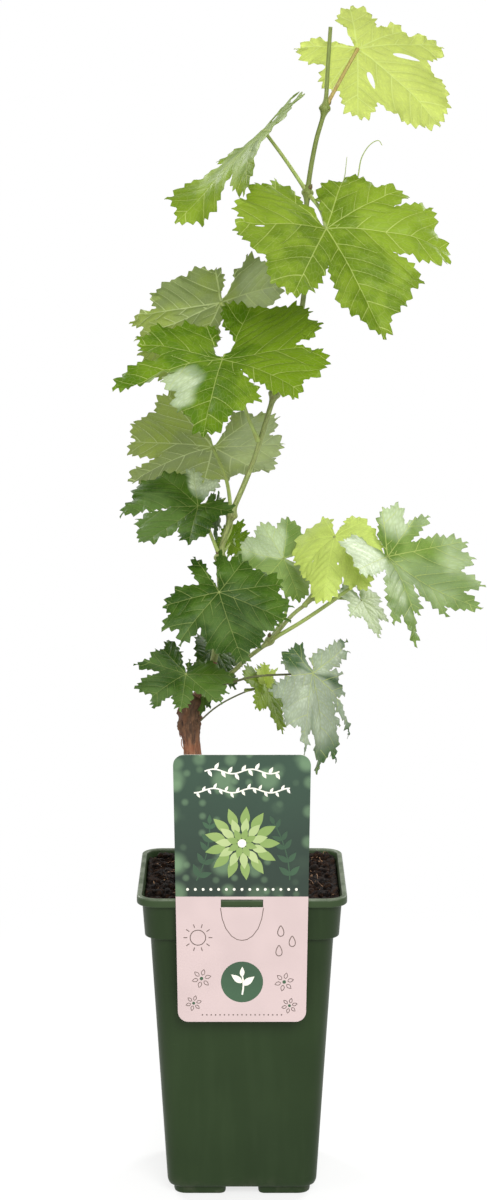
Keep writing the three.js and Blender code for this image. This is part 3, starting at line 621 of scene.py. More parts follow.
# ---- shared effects ----
def leaf_effect(settings):
    """Veins, quilting, patches, painted light and shade, dark tooth tips, painted silver sheen."""
    tree, start, end = group(
        "leaf_surface",
        [("Face", "colour", (0.1, 0.3, 0.02)), ("Patch", "colour", (0.1, 0.3, 0.02)),
         ("Vein", "colour", (0.4, 0.5, 0.1)), ("Tip", "colour", (0.1, 0.1, 0.05)),
         ("Silver", "colour", (0.5, 0.6, 0.5)), ("Sheen Share", "number", 0.0),
         ("Vein Rise", "number", -1.0), ("Vein Strength", "number", 1.0)],
        [("Color", "colour"), ("Height", "number"), ("Roughness", "number")])
    take = start.outputs

    def value_of(name):
        return put(tree, "ShaderNodeAttribute", attribute_name=name).outputs["Fac"]

    uv = put(tree, "ShaderNodeUVMap", uv_map="veins").outputs[0]
    split = put(tree, "ShaderNodeSeparateXYZ", {0: uv})
    run, across = split.outputs[0], split.outputs[1]
    away = calc(tree, "ABSOLUTE", across)
    count = value_of("ribs")
    spacing = settings.vein_spacing
    part = calc(tree, "ABSOLUTE", calc(tree, "SUBTRACT", calc(tree, "FRACT", count), 0.5))
    between = calc(tree, "SUBTRACT", 0.5, part)

    # The veins stand out more on the underside, where they are raised.
    wide = fade(tree, take["Vein Rise"], 0.0, 1.0, 1.0, 1.6)

    def line(gap, width):
        width = calc(tree, "MULTIPLY", width, wide)
        return calc(tree, "SUBTRACT", 1, fade(tree, gap, calc(tree, "MULTIPLY", width, 0.35),
                                              calc(tree, "MULTIPLY", width, 1.35)))

    second = line(calc(tree, "MULTIPLY", between, spacing * 0.75),
                  calc(tree, "MAXIMUM", calc(tree, "MULTIPLY_ADD", away, -0.006, 0.0028), 0.0012))
    fork = line(calc(tree, "MULTIPLY", part, spacing * 0.75), 0.0012)
    fork = calc(tree, "MULTIPLY", fork, fade(tree, away, 0.11, 0.15))
    main = line(away, calc(tree, "MAXIMUM", calc(tree, "MULTIPLY_ADD", run, -0.0046, 0.0056),
                           0.0018))
    ladder = put(tree, "ShaderNodeCombineXYZ", {
        0: calc(tree, "MULTIPLY", count, 3.0), 1: calc(tree, "MULTIPLY", across, 4.2 / spacing)})
    cells = put(tree, "ShaderNodeTexVoronoi", {"Vector": ladder.outputs[0], "Scale": 1.0},
                feature="DISTANCE_TO_EDGE", voronoi_dimensions="2D").outputs["Distance"]
    net = calc(tree, "SUBTRACT", 1, fade(tree, cells, 0.02, 0.12))
    place = object_place(tree)
    cloud = speckle(tree, place, 60, 2.5)
    fine = speckle(tree, place, 1100, 2.0)
    # Random clouds of the patch colour, and painted light: the light attribute paints lobes paler
    # where the light falls on them.
    patch = calc(tree, "ADD", calc(tree, "MULTIPLY", fade(tree, cloud, 0.40, 0.66), 0.75),
                 value_of("light"), clamp=True)
    colour = mixed(tree, patch, take["Face"], take["Patch"])
    # Painted shade: darker along the side veins and the net of small veins, where the blade is
    # grooved, and paler on the pads between, times a fine random change of tone.
    shade = calc(tree, "MULTIPLY", fade(tree, between, 0.0, 0.35, 0.95, 1.02),
                 fade(tree, fine, 0.3, 0.7, 0.96, 1.04))
    shade = calc(tree, "MULTIPLY", shade, fade(tree, cells, 0.0, 0.5, 0.94, 1.03))
    shade_colour = put(tree, "ShaderNodeCombineColor", {0: shade, 1: shade, 2: shade}).outputs[0]
    colour = mixed(tree, 1.0, colour, shade_colour, "MULTIPLY")
    # Painted sheen: the silver colour, mixed in by the silver attribute and by the tone's share of
    # random clouds, stands for the lights' reflection, and in places for the paler underside; there is
    # less of it along the net of small veins.
    sheen = calc(tree, "ADD", value_of("silver"), calc(
        tree, "MULTIPLY", fade(tree, speckle(tree, place, 30, 2.0), 0.45, 0.65),
        take["Sheen Share"]), clamp=True)
    sheen = calc(tree, "MULTIPLY", sheen, fade(tree, cells, 0.0, 0.4, 0.80, 1.0))
    colour = mixed(tree, sheen, colour, take["Silver"])
    strength = take["Vein Strength"]
    thin = calc(tree, "MULTIPLY_ADD", fork, 0.5, calc(tree, "MULTIPLY", second, 0.85))
    thin = calc(tree, "MULTIPLY_ADD", net, 0.17, thin)
    colour = mixed(tree, calc(tree, "MULTIPLY", thin, strength, clamp=True), colour, take["Vein"])
    colour = mixed(tree, calc(tree, "MULTIPLY", main, calc(tree, "MULTIPLY", strength, 0.9),
                              clamp=True), colour, take["Vein"])
    colour = mixed(tree, calc(tree, "MULTIPLY", value_of("tip"), 0.7), colour, take["Tip"])
    veins = calc(tree, "MULTIPLY_ADD", second, 0.16, calc(tree, "MULTIPLY", main, 0.30))
    veins = calc(tree, "MULTIPLY_ADD", net, 0.03, veins)
    raised = calc(tree, "MULTIPLY", veins, take["Vein Rise"])
    puffed = calc(tree, "MULTIPLY", fade(tree, cells, 0.0, 0.5), 0.20)
    height = calc(tree, "ADD", raised, calc(tree, "MULTIPLY_ADD", fine, 0.015, puffed))
    rough = fade(tree, speckle(tree, place, 90, 2.0), 0.3, 0.7, 0.44, 0.56)
    rough = calc(tree, "MULTIPLY_ADD", sheen, -0.10, rough)
    tree.links.new(colour, end.inputs["Color"])
    tree.links.new(height, end.inputs["Height"])
    tree.links.new(rough, end.inputs["Roughness"])
    return tree


def fibre_effect():
    """Streaks that run along a stem, with blotches."""
    tree, start, end = group(
        "stem_fibres",
        [("Light", "colour", (0.3, 0.4, 0.1)), ("Dark", "colour", (0.1, 0.2, 0.05)),
         ("Blotch", "colour", (0.2, 0.1, 0.05)), ("Blotch Share", "number", 0.3),
         ("Fineness", "number", 6.0)],
        [("Color", "colour"), ("Height", "number")])
    take = start.outputs
    place = grain_place(tree)
    streaks = speckle(tree, stretched(tree, place, (1, 1, 0.35)), take["Fineness"], 4.0, 0.6, 0.3)
    broad = speckle(tree, stretched(tree, place, (0.6, 0.6, 0.8)), 1.6, 3.0)
    colour = mixed(tree, fade(tree, streaks, 0.32, 0.68), take["Dark"], take["Light"])
    share = calc(tree, "MULTIPLY", fade(tree, broad, 0.42, 0.72), take["Blotch Share"])
    colour = mixed(tree, share, colour, take["Blotch"])
    tree.links.new(colour, end.inputs["Color"])
    tree.links.new(streaks, end.inputs["Height"])
    return tree


# ---- leaves ----
def half_edge(leaf, side, settings, random):
    """One half of a toothed blade, from the tip of the midrib to the base: points, tooth tips.

    The points are shares of the leaf's size, along the midrib and across it, always to the left.
    """
    edge = leaf.get(side + "_edge") or plain_edge(leaf, side)
    full, rest = leaf.get("full", 0.55), leaf.get("rest", 0.15)
    tooth = max(settings.tooth_width / MM * (0.55 + 0.45 * leaf["size"] / 70), 2.0) / leaf["size"]
    depth = tooth * settings.tooth_depth
    points, tips = [], []
    here = [0, leaf.get("end", 1)]
    for k in range(0, len(edge), 2):
        notch, after = edge[k:k + 2]
        for (tip_angle, tip_reach), forward in ((here, False), (after, True)):
            # The lobe falls from its pointed tip over a full shoulder to a rounded notch.
            t = np.linspace(1, 0, 40)
            over = np.maximum(t - 1 + rest, 0)
            s = t - over
            fall = 1 - (1 - full) * s**0.8 - full * s**3
            fall -= (1 - full + 3 * full * (1 - rest)**2) * (over - over**2 / (2 * rest))
            fall = (fall - fall[0]) / (1 - fall[0])
            reach = notch[1] + (tip_reach - notch[1]) * fall
            angle = np.radians(tip_angle + (notch[0] - tip_angle) * t)
            curve = np.stack([reach * np.cos(angle), reach * np.sin(angle)], axis=1)
            part, marks = toothed(curve * (1 - 0.6 * depth), tooth, depth, (0.3, 1.0), random)
            if not forward:
                part, marks = part[::-1], marks[::-1]
            joined = forward or k > 0
            points.append(part[1:] if joined else part)
            tips.append(marks[1:] if joined else marks)
        here = after
    angle, reach = here
    centre = 180 + leaf.get("mouth", 0) * (1 if side == "left" else -1)
    opening, shut = leaf.get("gap", ((centre - angle) * 0.55, 0.6))
    knots = [(angle, reach), (centre - (centre - angle) * shut, reach * 0.72),
             (centre - opening, reach * 0.4), (centre - opening * 1.1, reach * 0.2), (180, 0.035)]
    knots = [(r * math.cos(math.radians(a)), r * math.sin(math.radians(a))) for a, r in knots]
    curve = np.array([along(knots, u) for u in np.linspace(4, 0, 44)])
    part, marks = toothed(curve, tooth, depth * 0.8, (0.0, 0.9), random)
    points.append(part[::-1][1:])
    tips.append(marks[::-1][1:])
    return np.concatenate(points), np.concatenate(tips)


def plain_edge(leaf, side):
    """Notches and tips of one side from the leaf's lobes, as angle and reach in turn."""
    lobes = [[0, 1], *leaf[side]]
    first = 0 if side == "left" else 2
    lows = leaf["sinus"][first:first + 2]
    edge = []
    for k, ((a0, r0), (a1, r1)) in enumerate(zip(lobes, lobes[1:])):
        share = 0.54 if k == 0 else 0.5
        low = lows[k] if k < len(lows) else 0.93 * (r0 + r1) / 2
        edge += [[a0 + (a1 - a0) * share, low], [a1, r1]]
    return edge


def toothed(curve, tooth, depth, swell, random):
    """Teeth along a curve that runs from a sinus to a tip: points, and how near a tooth's tip.

    swell is the share of the depth at the two ends. Large and small teeth take turns.
    """
    steps = np.linalg.norm(np.diff(curve, axis=0), axis=1)
    run = np.concatenate([[0], np.cumsum(steps)])
    total = run[-1]
    count = max(1, round(total / tooth - 0.5))
    turns = np.where(np.arange(count) % 2 == random.integers(0, 2), 1.25, 0.75)
    widths = np.append(turns * random.uniform(0.88, 1.12, count), 0.55)
    widths *= total / widths.sum()
    starts = np.concatenate([[0], np.cumsum(widths)])
    points, marks = [], []
    for k, width in enumerate(widths):
        last = k == count
        peak = random.uniform(0.55, 0.68)
        shares = [0, .3, .6, .85, 1] if last else [
            0, .3 * peak, .6 * peak, .85 * peak, peak, peak + .18 * (1 - peak),
            peak + .5 * (1 - peak), peak + .8 * (1 - peak)]
        size = depth * width / tooth * random.uniform(0.88, 1.12) * (1.5 if last else 1.0)
        for t in shares:
            if last:
                height = t**1.5
            elif t < peak:
                height = 0.35 * math.sin(t / peak * math.pi / 2) + 0.65 * (t / peak)**1.2
            else:
                height = ((1 - t) / (1 - peak))**1.15
            here = starts[k] + t * width
            p = np.array([np.interp(here, run, curve[:, i]) for i in range(2)])
            q = np.array([np.interp(min(here + 0.02, total), run, curve[:, i]) for i in range(2)])
            o = np.array([np.interp(max(here - 0.02, 0), run, curve[:, i]) for i in range(2)])
            ahead = unit(q - o)
            out = np.array([ahead[1], -ahead[0]])
            out = out if np.dot(out, p) > 0 else -out
            grown = size * (swell[0] + (swell[1] - swell[0]) * min(1, here / total * 1.6))
            lean = 0.0 if last else 0.10 * height
            points.append(p + out * grown * (height - 0.35) + ahead * grown * lean)
            marks.append(max(0.0, height)**6)
    return np.array(points), np.array(marks)


def leaf_axes(leaf):
    """The angles of the main veins, in radians."""
    right = [-a for a, _ in leaf["right"]]
    return np.radians([0, *[a for a, _ in leaf["left"]], *right])


def blade_frame(leaf):
    """The midrib, the left and the upward direction of a leaf."""
    heading, dip, turn = np.radians(leaf["aim"])
    midrib = np.array([math.cos(heading) * math.cos(dip), math.sin(heading) * math.cos(dip),
                       -math.sin(dip)])
    level = np.array([-math.sin(heading), math.cos(heading), 0])
    left = level * math.cos(turn) + np.cross(midrib, level) * math.sin(turn)
    return midrib, left, np.cross(midrib, left)


def side_veins(run, across, lobe, spacing, shifts):
    """Which side vein of its main vein a point is at: whole numbers lie on the veins."""
    away = np.abs(across)
    along_vein = run - away * (0.8 + 0.9 * away)
    side = np.where(across < 0, 0, 1)
    return along_vein / spacing + 0.32 * np.sin(7.5 * along_vein + shifts[lobe, side]) + 0.3 * side


def mask(spots, flat, random):
    """How strongly each point of the blade lies in spots: angle, half width, start, end, amount."""
    angle = np.degrees(np.arctan2(flat[:, 1], flat[:, 0]))
    reach = np.hypot(flat[:, 0], flat[:, 1])
    shift = Vector(random.uniform(0, 50, 3))
    rough = np.array([noise.noise(Vector((*(p * 5.0), 0)) + shift) for p in flat])
    out = np.zeros(len(flat))
    for middle, half, start, end, amount in spots:
        turn = np.abs((angle - middle + 180) % 360 - 180) / half + 0.3 * rough
        inner = np.clip((1.16 - turn) / 0.46, 0, 1)
        inner = inner * inner * (3 - 2 * inner)
        far = np.clip((reach + 0.08 * rough - start + 0.03) / 0.18, 0, 1) if start > 0 else 1.0
        near = np.clip((end + 0.1 - reach - 0.08 * rough) / 0.2, 0, 1)
        out = np.maximum(out, amount * inner * far * near)
    return out


def curled(leaf, flat):
    """Points of the flat blade on the curled one, in mm."""
    midrib, left, up = blade_frame(leaf)
    angle = np.degrees(np.arctan2(flat[:, 1], flat[:, 0]))
    reach = np.hypot(flat[:, 0], flat[:, 1])
    middle, bend_left, bend_right, base = leaf["bend"]
    (left_one, _), (left_two, _) = leaf["left"][:2]
    (right_one, _), (right_two, _) = leaf["right"][:2]
    knots = [-180, -right_two - 10, -right_one, 0, left_one, left_two + 10, 180]
    bends = [base, (base + bend_right) / 2, bend_right, middle, bend_left,
             (base + bend_left) / 2, base]
    bend = np.radians(np.interp(angle, knots, bends))
    fold = np.radians(np.where(angle > 0, leaf["cup"][0], leaf["cup"][1]))
    fold = fold * np.abs(np.sin(np.radians(angle)))
    out, rise = np.zeros(len(flat)), np.zeros(len(flat))
    for i in range(8):
        slope = fold - bend * reach * (i + 0.5) / 8
        out += np.cos(slope) * reach * leaf["size"] / 8
        rise += np.sin(slope) * reach * leaf["size"] / 8
    turned = np.radians(angle)
    ahead, aside = out * np.cos(turned), out * np.sin(turned)
    # The blade turns about its midrib towards the tip.
    twist = np.radians(leaf.get("twist", 0)) * np.clip(ahead / leaf["size"], 0, 1)**1.7
    aside, rise = (aside * np.cos(twist) - rise * np.sin(twist),
                   aside * np.sin(twist) + rise * np.cos(twist))
    return (np.array(leaf["at"], float) + np.outer(ahead, midrib) + np.outer(aside, left)
            + np.outer(rise, up))


def vein_place(flat, axis):
    """Run along the main vein at each point's axis angle, and distance across it."""
    run = flat[:, 0] * np.cos(axis) + flat[:, 1] * np.sin(axis)
    across = flat[:, 1] * np.cos(axis) - flat[:, 0] * np.sin(axis)
    return np.stack([run, across], axis=1)


def gap_outline(angle, start, end, width):
    """A pointed oval gap in a blade, from start to end along a ray."""
    turn = np.arange(22) * 2 * math.pi / 22
    run = (start + end) / 2 + (end - start) / 2 * np.cos(turn)
    side = width / 2 * np.sin(turn) * (1 - 0.35 * np.cos(turn))
    angle = math.radians(angle)
    return np.stack([run * math.cos(angle) - side * math.sin(angle),
                     run * math.sin(angle) + side * math.cos(angle)], axis=1)


def nearest_axis(flat, axes):
    """The number of the main vein whose direction is nearest to each point's."""
    angle = np.arctan2(flat[:, 1], flat[:, 0])
    gap = (angle[:, None] - axes[None] + math.pi) % (2 * math.pi) - math.pi
    return np.argmin(np.abs(gap), axis=1)


def make_leaf(name, leaf, settings, materials, seed):
    """A leaf blade as a thin closed shell: toothed, veined, quilted and waved."""
    random = np.random.default_rng(seed)
    left, left_tips = half_edge(leaf, "left", settings, random)
    right, right_tips = half_edge(leaf, "right", settings, random)
    right = right * [1, -1]
    outline = np.concatenate([left, right[::-1][1:-1]])
    marks = np.concatenate([left_tips, right_tips[::-1][1:-1]])
    size = leaf["size"]
    step = max(settings.detail / MM, size / 80) / size
    holes = [gap_outline(*hole) for hole in leaf.get("holes", ())]
    flat, triangles, ids = filled(outline, step, holes)
    marks = np.concatenate([marks, *[np.zeros(len(hole)) for hole in holes]])
    tip = np.where(ids >= 0, marks[np.maximum(ids, 0)], 0.0)
    # The distance to the edge, and where along it each point is.
    edge_run = np.concatenate([[0], np.cumsum(np.linalg.norm(np.diff(outline, axis=0), axis=1))])
    tree = kdtree.KDTree(len(outline))
    for i, p in enumerate(outline):
        tree.insert((p[0], p[1], 0), i)
    tree.balance()
    near = [tree.find((p[0], p[1], 0)) for p in flat]
    away = np.array([n[2] for n in near]) * size
    where = edge_run[[n[1] for n in near]] * size
    rim = np.exp(-away / (0.09 * size))
    reach = np.hypot(flat[:, 0], flat[:, 1])
    axes = leaf_axes(leaf)
    shifts = random.uniform(0, 6.28, (len(axes), 2))
    lobe = nearest_axis(flat, axes)
    veins = vein_place(flat, axes[lobe])
    across = np.abs(veins[:, 1])
    count = side_veins(veins[:, 0], veins[:, 1], lobe, settings.vein_spacing, shifts)
    swell = np.abs(np.sin(math.pi * count))**0.7
    swell *= (1 - np.exp(-across / 0.035)) * (1 - 0.8 * rim)
    lift = leaf.get("rib", 1.0) * settings.quilting / MM * size / 70 * swell
    lift -= leaf.get("rib", 1.0) * 0.006 * size * np.exp(-across / 0.03) * np.minimum(1, reach * 4)
    shift = random.uniform(0, 50, 3)
    slow = np.array([noise.noise(Vector((*(p * size / 21), 0)) + Vector(shift)) for p in flat])
    wave = np.sin(2 * math.pi * where / (0.34 * size) + shift[0]) + 0.5 * np.sin(
        2 * math.pi * where / (0.19 * size) + shift[1])
    waves = settings.waviness / MM * size / 70 * leaf.get("wave", 1.0)
    lift += waves * (slow * np.minimum(1, reach * 1.6) + 0.6 * wave * rim**2)
    base = curled(leaf, flat)
    normals = point_normals(base, triangles)
    middle = base + normals * lift[:, None]
    normals = point_normals(middle, triangles)
    half = settings.thickness / MM / 2 * (1 - 0.45 * rim)
    top = middle + normals * half[:, None]
    under = middle - normals * half[:, None]
    front, back, sides, rims = shell_faces(triangles, len(flat))
    shape = Shape()
    slots = [0] * len(front) + [1] * len(back) + [0] * len(sides)
    shape.add(np.concatenate([top, under]), front + back + sides, slots)
    obj = shape.build(name, materials, sharp=62)
    mesh = obj.data
    # Masks for the material: painted sheen, in places the paler underside, and painted light.
    silver = mask(leaf.get("silver", ()), flat, random) * (1 - 0.35 * rim)
    light = mask(leaf.get("light", ()), flat, random)
    for layer_name, values in (("tip", tip), ("silver", silver), ("light", light)):
        layer = mesh.attributes.new(layer_name, "FLOAT", "POINT")
        layer.data.foreach_set("value", np.concatenate([values, values]))
    # Each triangle takes the veins of the lobe that it lies in.
    owner = nearest_axis(flat[triangles].mean(axis=1), axes)
    corners = [vein_place(flat[triangles[:, i]], axes[owner]) for i in range(3)]
    side_ids = np.array([(b, a, a, b) for a, b in rims]).ravel()
    places = np.concatenate([np.stack(corners, axis=1).reshape(-1, 2),
                             np.stack(corners[::-1], axis=1).reshape(-1, 2), veins[side_ids]])
    lobes = np.concatenate([np.repeat(owner, 3), np.repeat(owner, 3), lobe[side_ids]])
    mesh.uv_layers.new(name="veins").data.foreach_set("uv", places.ravel())
    ribs = side_veins(places[:, 0], places[:, 1], lobes, settings.vein_spacing, shifts)
    mesh.attributes.new("ribs", "FLOAT", "CORNER").data.foreach_set("value", ribs)
    return obj


def leaf_material(name, shared, tree_values, translucence, under):
    """A leaf's face or underside: a soft shine over a blade that lets light through."""
    made, tree, output = new_material(name)
    surface = put(tree, "ShaderNodeGroup", tree_values, node_tree=shared)
    shader = principled(
        tree, output, surface.outputs["Color"], surface.outputs["Roughness"],
        surface.outputs["Height"], depth=MM, strength=0.45,
        Specular_IOR_Level=0.12 if under else 0.22)
    glow = mixed(tree, 1.0, surface.outputs["Color"], (1.0, 1.0, 0.7), "MULTIPLY")
    glow = put(tree, "ShaderNodeHueSaturation", {"Color": glow, "Value": 1.3}).outputs[0]
    through = put(tree, "ShaderNodeBsdfTranslucent", {"Color": glow})
    both = put(tree, "ShaderNodeMixShader", {0: translucence, 1: shader.outputs[0],
                                             2: through.outputs[0]})
    tree.links.new(both.outputs[0], output.inputs[0])
    return made


def leaf_materials(settings):
    """Face and underside materials for each tone of leaf."""
    shared = leaf_effect(settings)
    made = {}
    for tone in TONES:
        face, patch, under = (tuple(getattr(settings, tone + part))
                              for part in ("_face", "_patch", "_under"))
        share, strength = TONES[tone][3:]
        made[tone] = []
        for side, base, second, keep, rise in (
            ("face", face, patch, 0.20, -0.4), ("under", under, patch, 0.45, 1.2),
        ):
            pale = tuple(settings.vein)
            if side == "under":
                second = tuple(0.5 * (a + b) for a, b in zip(under, patch))
                pale = tuple(0.5 * (a + b) for a, b in zip(pale, settings.silver))
            vein = tuple(max(keep * a + (1 - keep) * b, 1.15 * a) for a, b in zip(base, pale))
            made[tone].append(leaf_material(
                "leaf_" + side + "_" + tone, shared,
                {"Face": base, "Patch": second, "Vein": vein, "Tip": tuple(settings.tooth_tip),
                 "Silver": tuple(settings.silver), "Sheen Share": share, "Vein Rise": rise,
                 "Vein Strength": strength}, settings.translucence, side == "under"))
    return made


# ---- stems ----
def radius_at(table, places, points, line, nodes, swelling):
    """Radii along a stem, with its swollen nodes."""
    radii = np.interp(places, list(table), list(table.values()))
    for node in nodes:
        away = np.linalg.norm(line - points[node], axis=1)
        swell = np.exp(-(away / 3.2)**2) + 0.35 * np.exp(-(away / 1.5)**4)
        radii = radii + swelling / MM * swell
    return radii


def ridges(path, seed, amount, count, length):
    """Relief of lengthwise ridges for Shape.tube, amount mm deep, about count round the stem."""
    travel = np.concatenate([[0], np.cumsum(np.linalg.norm(np.diff(path, axis=0), axis=1))])

    def relief(angles, k):
        run = travel[k]
        out = []
        for angle in angles:
            around = Vector((math.cos(angle), math.sin(angle), 0)) * count / 6.3
            p = around + Vector((0, 0, run / length)) + Vector((seed, seed * 2, 0))
            broad = noise.noise(p * 0.6)
            ridge = 1 - 2 * abs(noise.noise(p * 1.5))
            fine = 1 - 2 * abs(noise.noise(Vector((p.x * 3.1, p.y * 3.1, p.z * 2.0))))
            out.append(amount * (0.6 * broad + 0.9 * ridge + 0.4 * fine - 0.6))
        return np.array(out)

    return relief


def trunk_radii(line):
    """Radii of the woody stem: the flare at the soil, the taper and the knobbly head."""
    height = line[:, 2] - SOIL_LEVEL
    flare = 3.3 * np.exp(-np.maximum(height, 0) / 9)
    taper = np.interp(height, [0, 115], [5.7, 4.6])
    knob = 1.7 * np.exp(-((height - 104) / 9)**2)
    return taper + flare + knob


def knobbly(path, settings):
    """Relief of bark that turns to knobs at the head."""
    bark = ridges(path, 3.0, settings.relief / MM, 30, 16)

    def relief(angles, k):
        head = math.exp(-((path[k][2] - HEAD_HEIGHT) / 10)**2)
        lumps = np.array([
            noise.noise(Vector((math.cos(a) * 1.5, math.sin(a) * 1.5, path[k][2] / 4.2)))
            + 0.6 * abs(noise.noise(Vector((math.cos(a) * 3, math.sin(a) * 3, path[k][2] / 2.2))))
            for a in angles])
        return bark(angles, k) + 2.3 * head * lumps

    return relief


def bud(shape, at, aim, size, slot=0):
    """A pointed bud."""
    aim = unit(aim)
    t = np.linspace(0, 1, 9)
    path = np.array(at) + np.outer(t * size, aim)
    swell = np.array([.55, .85, 1.0, 1.0, .92, .76, .55, .33, .12])
    shape.tube(path, swell * size * 0.36, 10, slot=slot)


def stalk_path(leaf):
    """Points of a leaf's stalk, from inside its limb to the blade."""
    up = blade_frame(leaf)[2]
    return np.array([*leaf["stalk"], np.array(leaf["at"]) - up * 0.35], float)


def make_stalk(shape, leaf, settings):
    """A stalk with a swollen foot and a thickened neck under the blade."""
    path, _ = smooth_path(stalk_path(leaf), 1.6)
    t = np.linspace(0, 1, len(path))
    length = np.linalg.norm(np.diff(path, axis=0), axis=1).sum()
    thick = settings.stalk_radius / MM * min(1.0, 0.55 + 0.45 * leaf["size"] / 60)
    thick *= leaf.get("slim", 1.0)
    radii = thick * (1 - 0.16 * t + 0.65 * np.exp(-t * length / 2.6)
                     + 0.25 * np.exp(-(1 - t) * length / 2.0))
    shape.tube(path, radii, 12)


# ---- scattering ----
def scatter_tree(name):
    """A geometry tree with the inputs that every scatter has, and its first nodes."""
    tree = bpy.data.node_groups.new(name, "GeometryNodeTree")
    tree.is_modifier = True
    sockets = {}
    for socket, kind, default in (
        ("Geometry", "NodeSocketGeometry", None), ("Density", "NodeSocketFloat", 1000.0),
        ("Smallest", "NodeSocketFloat", 0.001), ("Largest", "NodeSocketFloat", 0.002),
        ("Seed", "NodeSocketInt", 1), ("Material", "NodeSocketMaterial", None),
    ):
        made = tree.interface.new_socket(socket, in_out="INPUT", socket_type=kind)
        if default is not None:
            made.default_value = default
        sockets[socket] = made.identifier
    tree.interface.new_socket("Geometry", in_out="OUTPUT", socket_type="NodeSocketGeometry")
    start = tree.nodes.new("NodeGroupInput")
    end = tree.nodes.new("NodeGroupOutput")
    points = put(tree, "GeometryNodeDistributePointsOnFaces", {
        "Mesh": start.outputs["Geometry"], "Density": start.outputs["Density"],
        "Seed": start.outputs["Seed"]})
    return tree, start, end, points, sockets


def random_number(tree, low, high, seed):
    """A random number for each point."""
    made = put(tree, "FunctionNodeRandomValue", {"Seed": seed}, data_type="FLOAT")
    floats = [s for s in made.inputs if s.type == "VALUE" and s.enabled]
    for socket, value in zip(floats, (low, high)):
        if isinstance(value, bpy.types.NodeSocket):
            tree.links.new(value, socket)
        else:
            socket.default_value = value
    return next(s for s in made.outputs if s.enabled and s.type == "VALUE")


def random_vector(tree, low, high, seed):
    """A random vector for each point."""
    made = put(tree, "FunctionNodeRandomValue", {"Seed": seed}, data_type="FLOAT_VECTOR")
    vectors = [s for s in made.inputs if s.type == "VECTOR" and s.enabled]
    vectors[0].default_value, vectors[1].default_value = low, high
    return next(s for s in made.outputs if s.enabled and s.type == "VECTOR")


def shaken(tree, geometry_socket, scale, amount):
    """Geometry with its points moved by noise."""
    place = tree.nodes.new("GeometryNodeInputPosition").outputs[0]
    found = put(tree, "ShaderNodeTexNoise", {"Vector": place, "Scale": scale, "Detail": 2.0})
    centred = put(tree, "ShaderNodeVectorMath", {0: found.outputs["Color"], 1: (0.5, 0.5, 0.5)},
                  operation="SUBTRACT").outputs[0]
    offset = put(tree, "ShaderNodeVectorMath", {0: centred, "Scale": amount},
                 operation="SCALE").outputs[0]
    return put(tree, "GeometryNodeSetPosition", {"Geometry": geometry_socket,
                                                  "Offset": offset}).outputs[0]


def close_tree(tree, start, end, geometry_socket):
    """The last nodes of every scatter."""
    real = put(tree, "GeometryNodeRealizeInstances", {0: geometry_socket}).outputs[0]
    done = put(tree, "GeometryNodeSetMaterial", {"Geometry": real,
                                                  "Material": start.outputs["Material"]})
    tree.links.new(done.outputs[0], end.inputs[0])


def crumb_tree():
    """Lumps of soil, each an uneven ball of a few dozen faces."""
    tree, start, end, points, sockets = scatter_tree("soil_crumbs")
    ball = put(tree, "GeometryNodeMeshIcoSphere", {"Radius": 1.0, "Subdivisions": 2})
    seed = start.outputs["Seed"]
    size = random_number(tree, start.outputs["Smallest"], start.outputs["Largest"], seed)
    stretch = random_vector(tree, (0.6, 0.6, 0.45), (1.3, 1.3, 0.9), seed)
    scale = put(tree, "ShaderNodeVectorMath", {0: stretch, "Scale": size}, operation="SCALE")
    turn = random_vector(tree, (0, 0, 0), (6.28, 6.28, 6.28), seed)
    balls = put(tree, "GeometryNodeInstanceOnPoints", {
        "Points": points.outputs["Points"], "Instance": ball.outputs["Mesh"], "Rotation": turn,
        "Scale": scale.outputs[0]})
    real = put(tree, "GeometryNodeRealizeInstances", {0: balls.outputs[0]}).outputs[0]
    close_tree(tree, start, end, shaken(tree, real, 420.0, 0.0022))
    return tree, sockets


def fibre_tree(name, radius, upright, wiggle):
    """Bent fibres or strips: short curves on a surface, swept to thin closed strands."""
    tree, start, end, points, sockets = scatter_tree(name)
    seed = start.outputs["Seed"]
    bow = put(tree, "GeometryNodeCurveQuadraticBezier", {
        "Resolution": 7, "Start": (0, 0, -0.5), "Middle": (0.10, 0, 0.0), "End": (0, 0, 0.5)})
    size = random_number(tree, start.outputs["Smallest"], start.outputs["Largest"], seed)
    if upright:
        out = put(tree, "FunctionNodeAlignRotationToVector", {
            "Vector": points.outputs["Normal"]}, axis="X")
        turn = put(tree, "FunctionNodeAlignRotationToVector", {
            "Rotation": out.outputs[0], "Vector": (0, 0, 1)}, axis="Z", pivot_axis="X").outputs[0]
    else:
        turn = random_vector(tree, (1.25, -0.4, 0), (1.75, 0.4, 6.28), seed)
    curves = put(tree, "GeometryNodeInstanceOnPoints", {
        "Points": points.outputs["Points"], "Instance": bow.outputs[0], "Rotation": turn,
        "Scale": size})
    real = put(tree, "GeometryNodeRealizeInstances", {0: curves.outputs[0]}).outputs[0]
    bent = shaken(tree, real, 160.0, wiggle)
    profile = put(tree, "GeometryNodeCurvePrimitiveCircle", {"Resolution": 5, "Radius": radius})
    strands = put(tree, "GeometryNodeCurveToMesh", {
        "Curve": bent, "Profile Curve": profile.outputs[0], "Fill Caps": True})
    close_tree(tree, start, end, strands.outputs[0])
    return tree, sockets


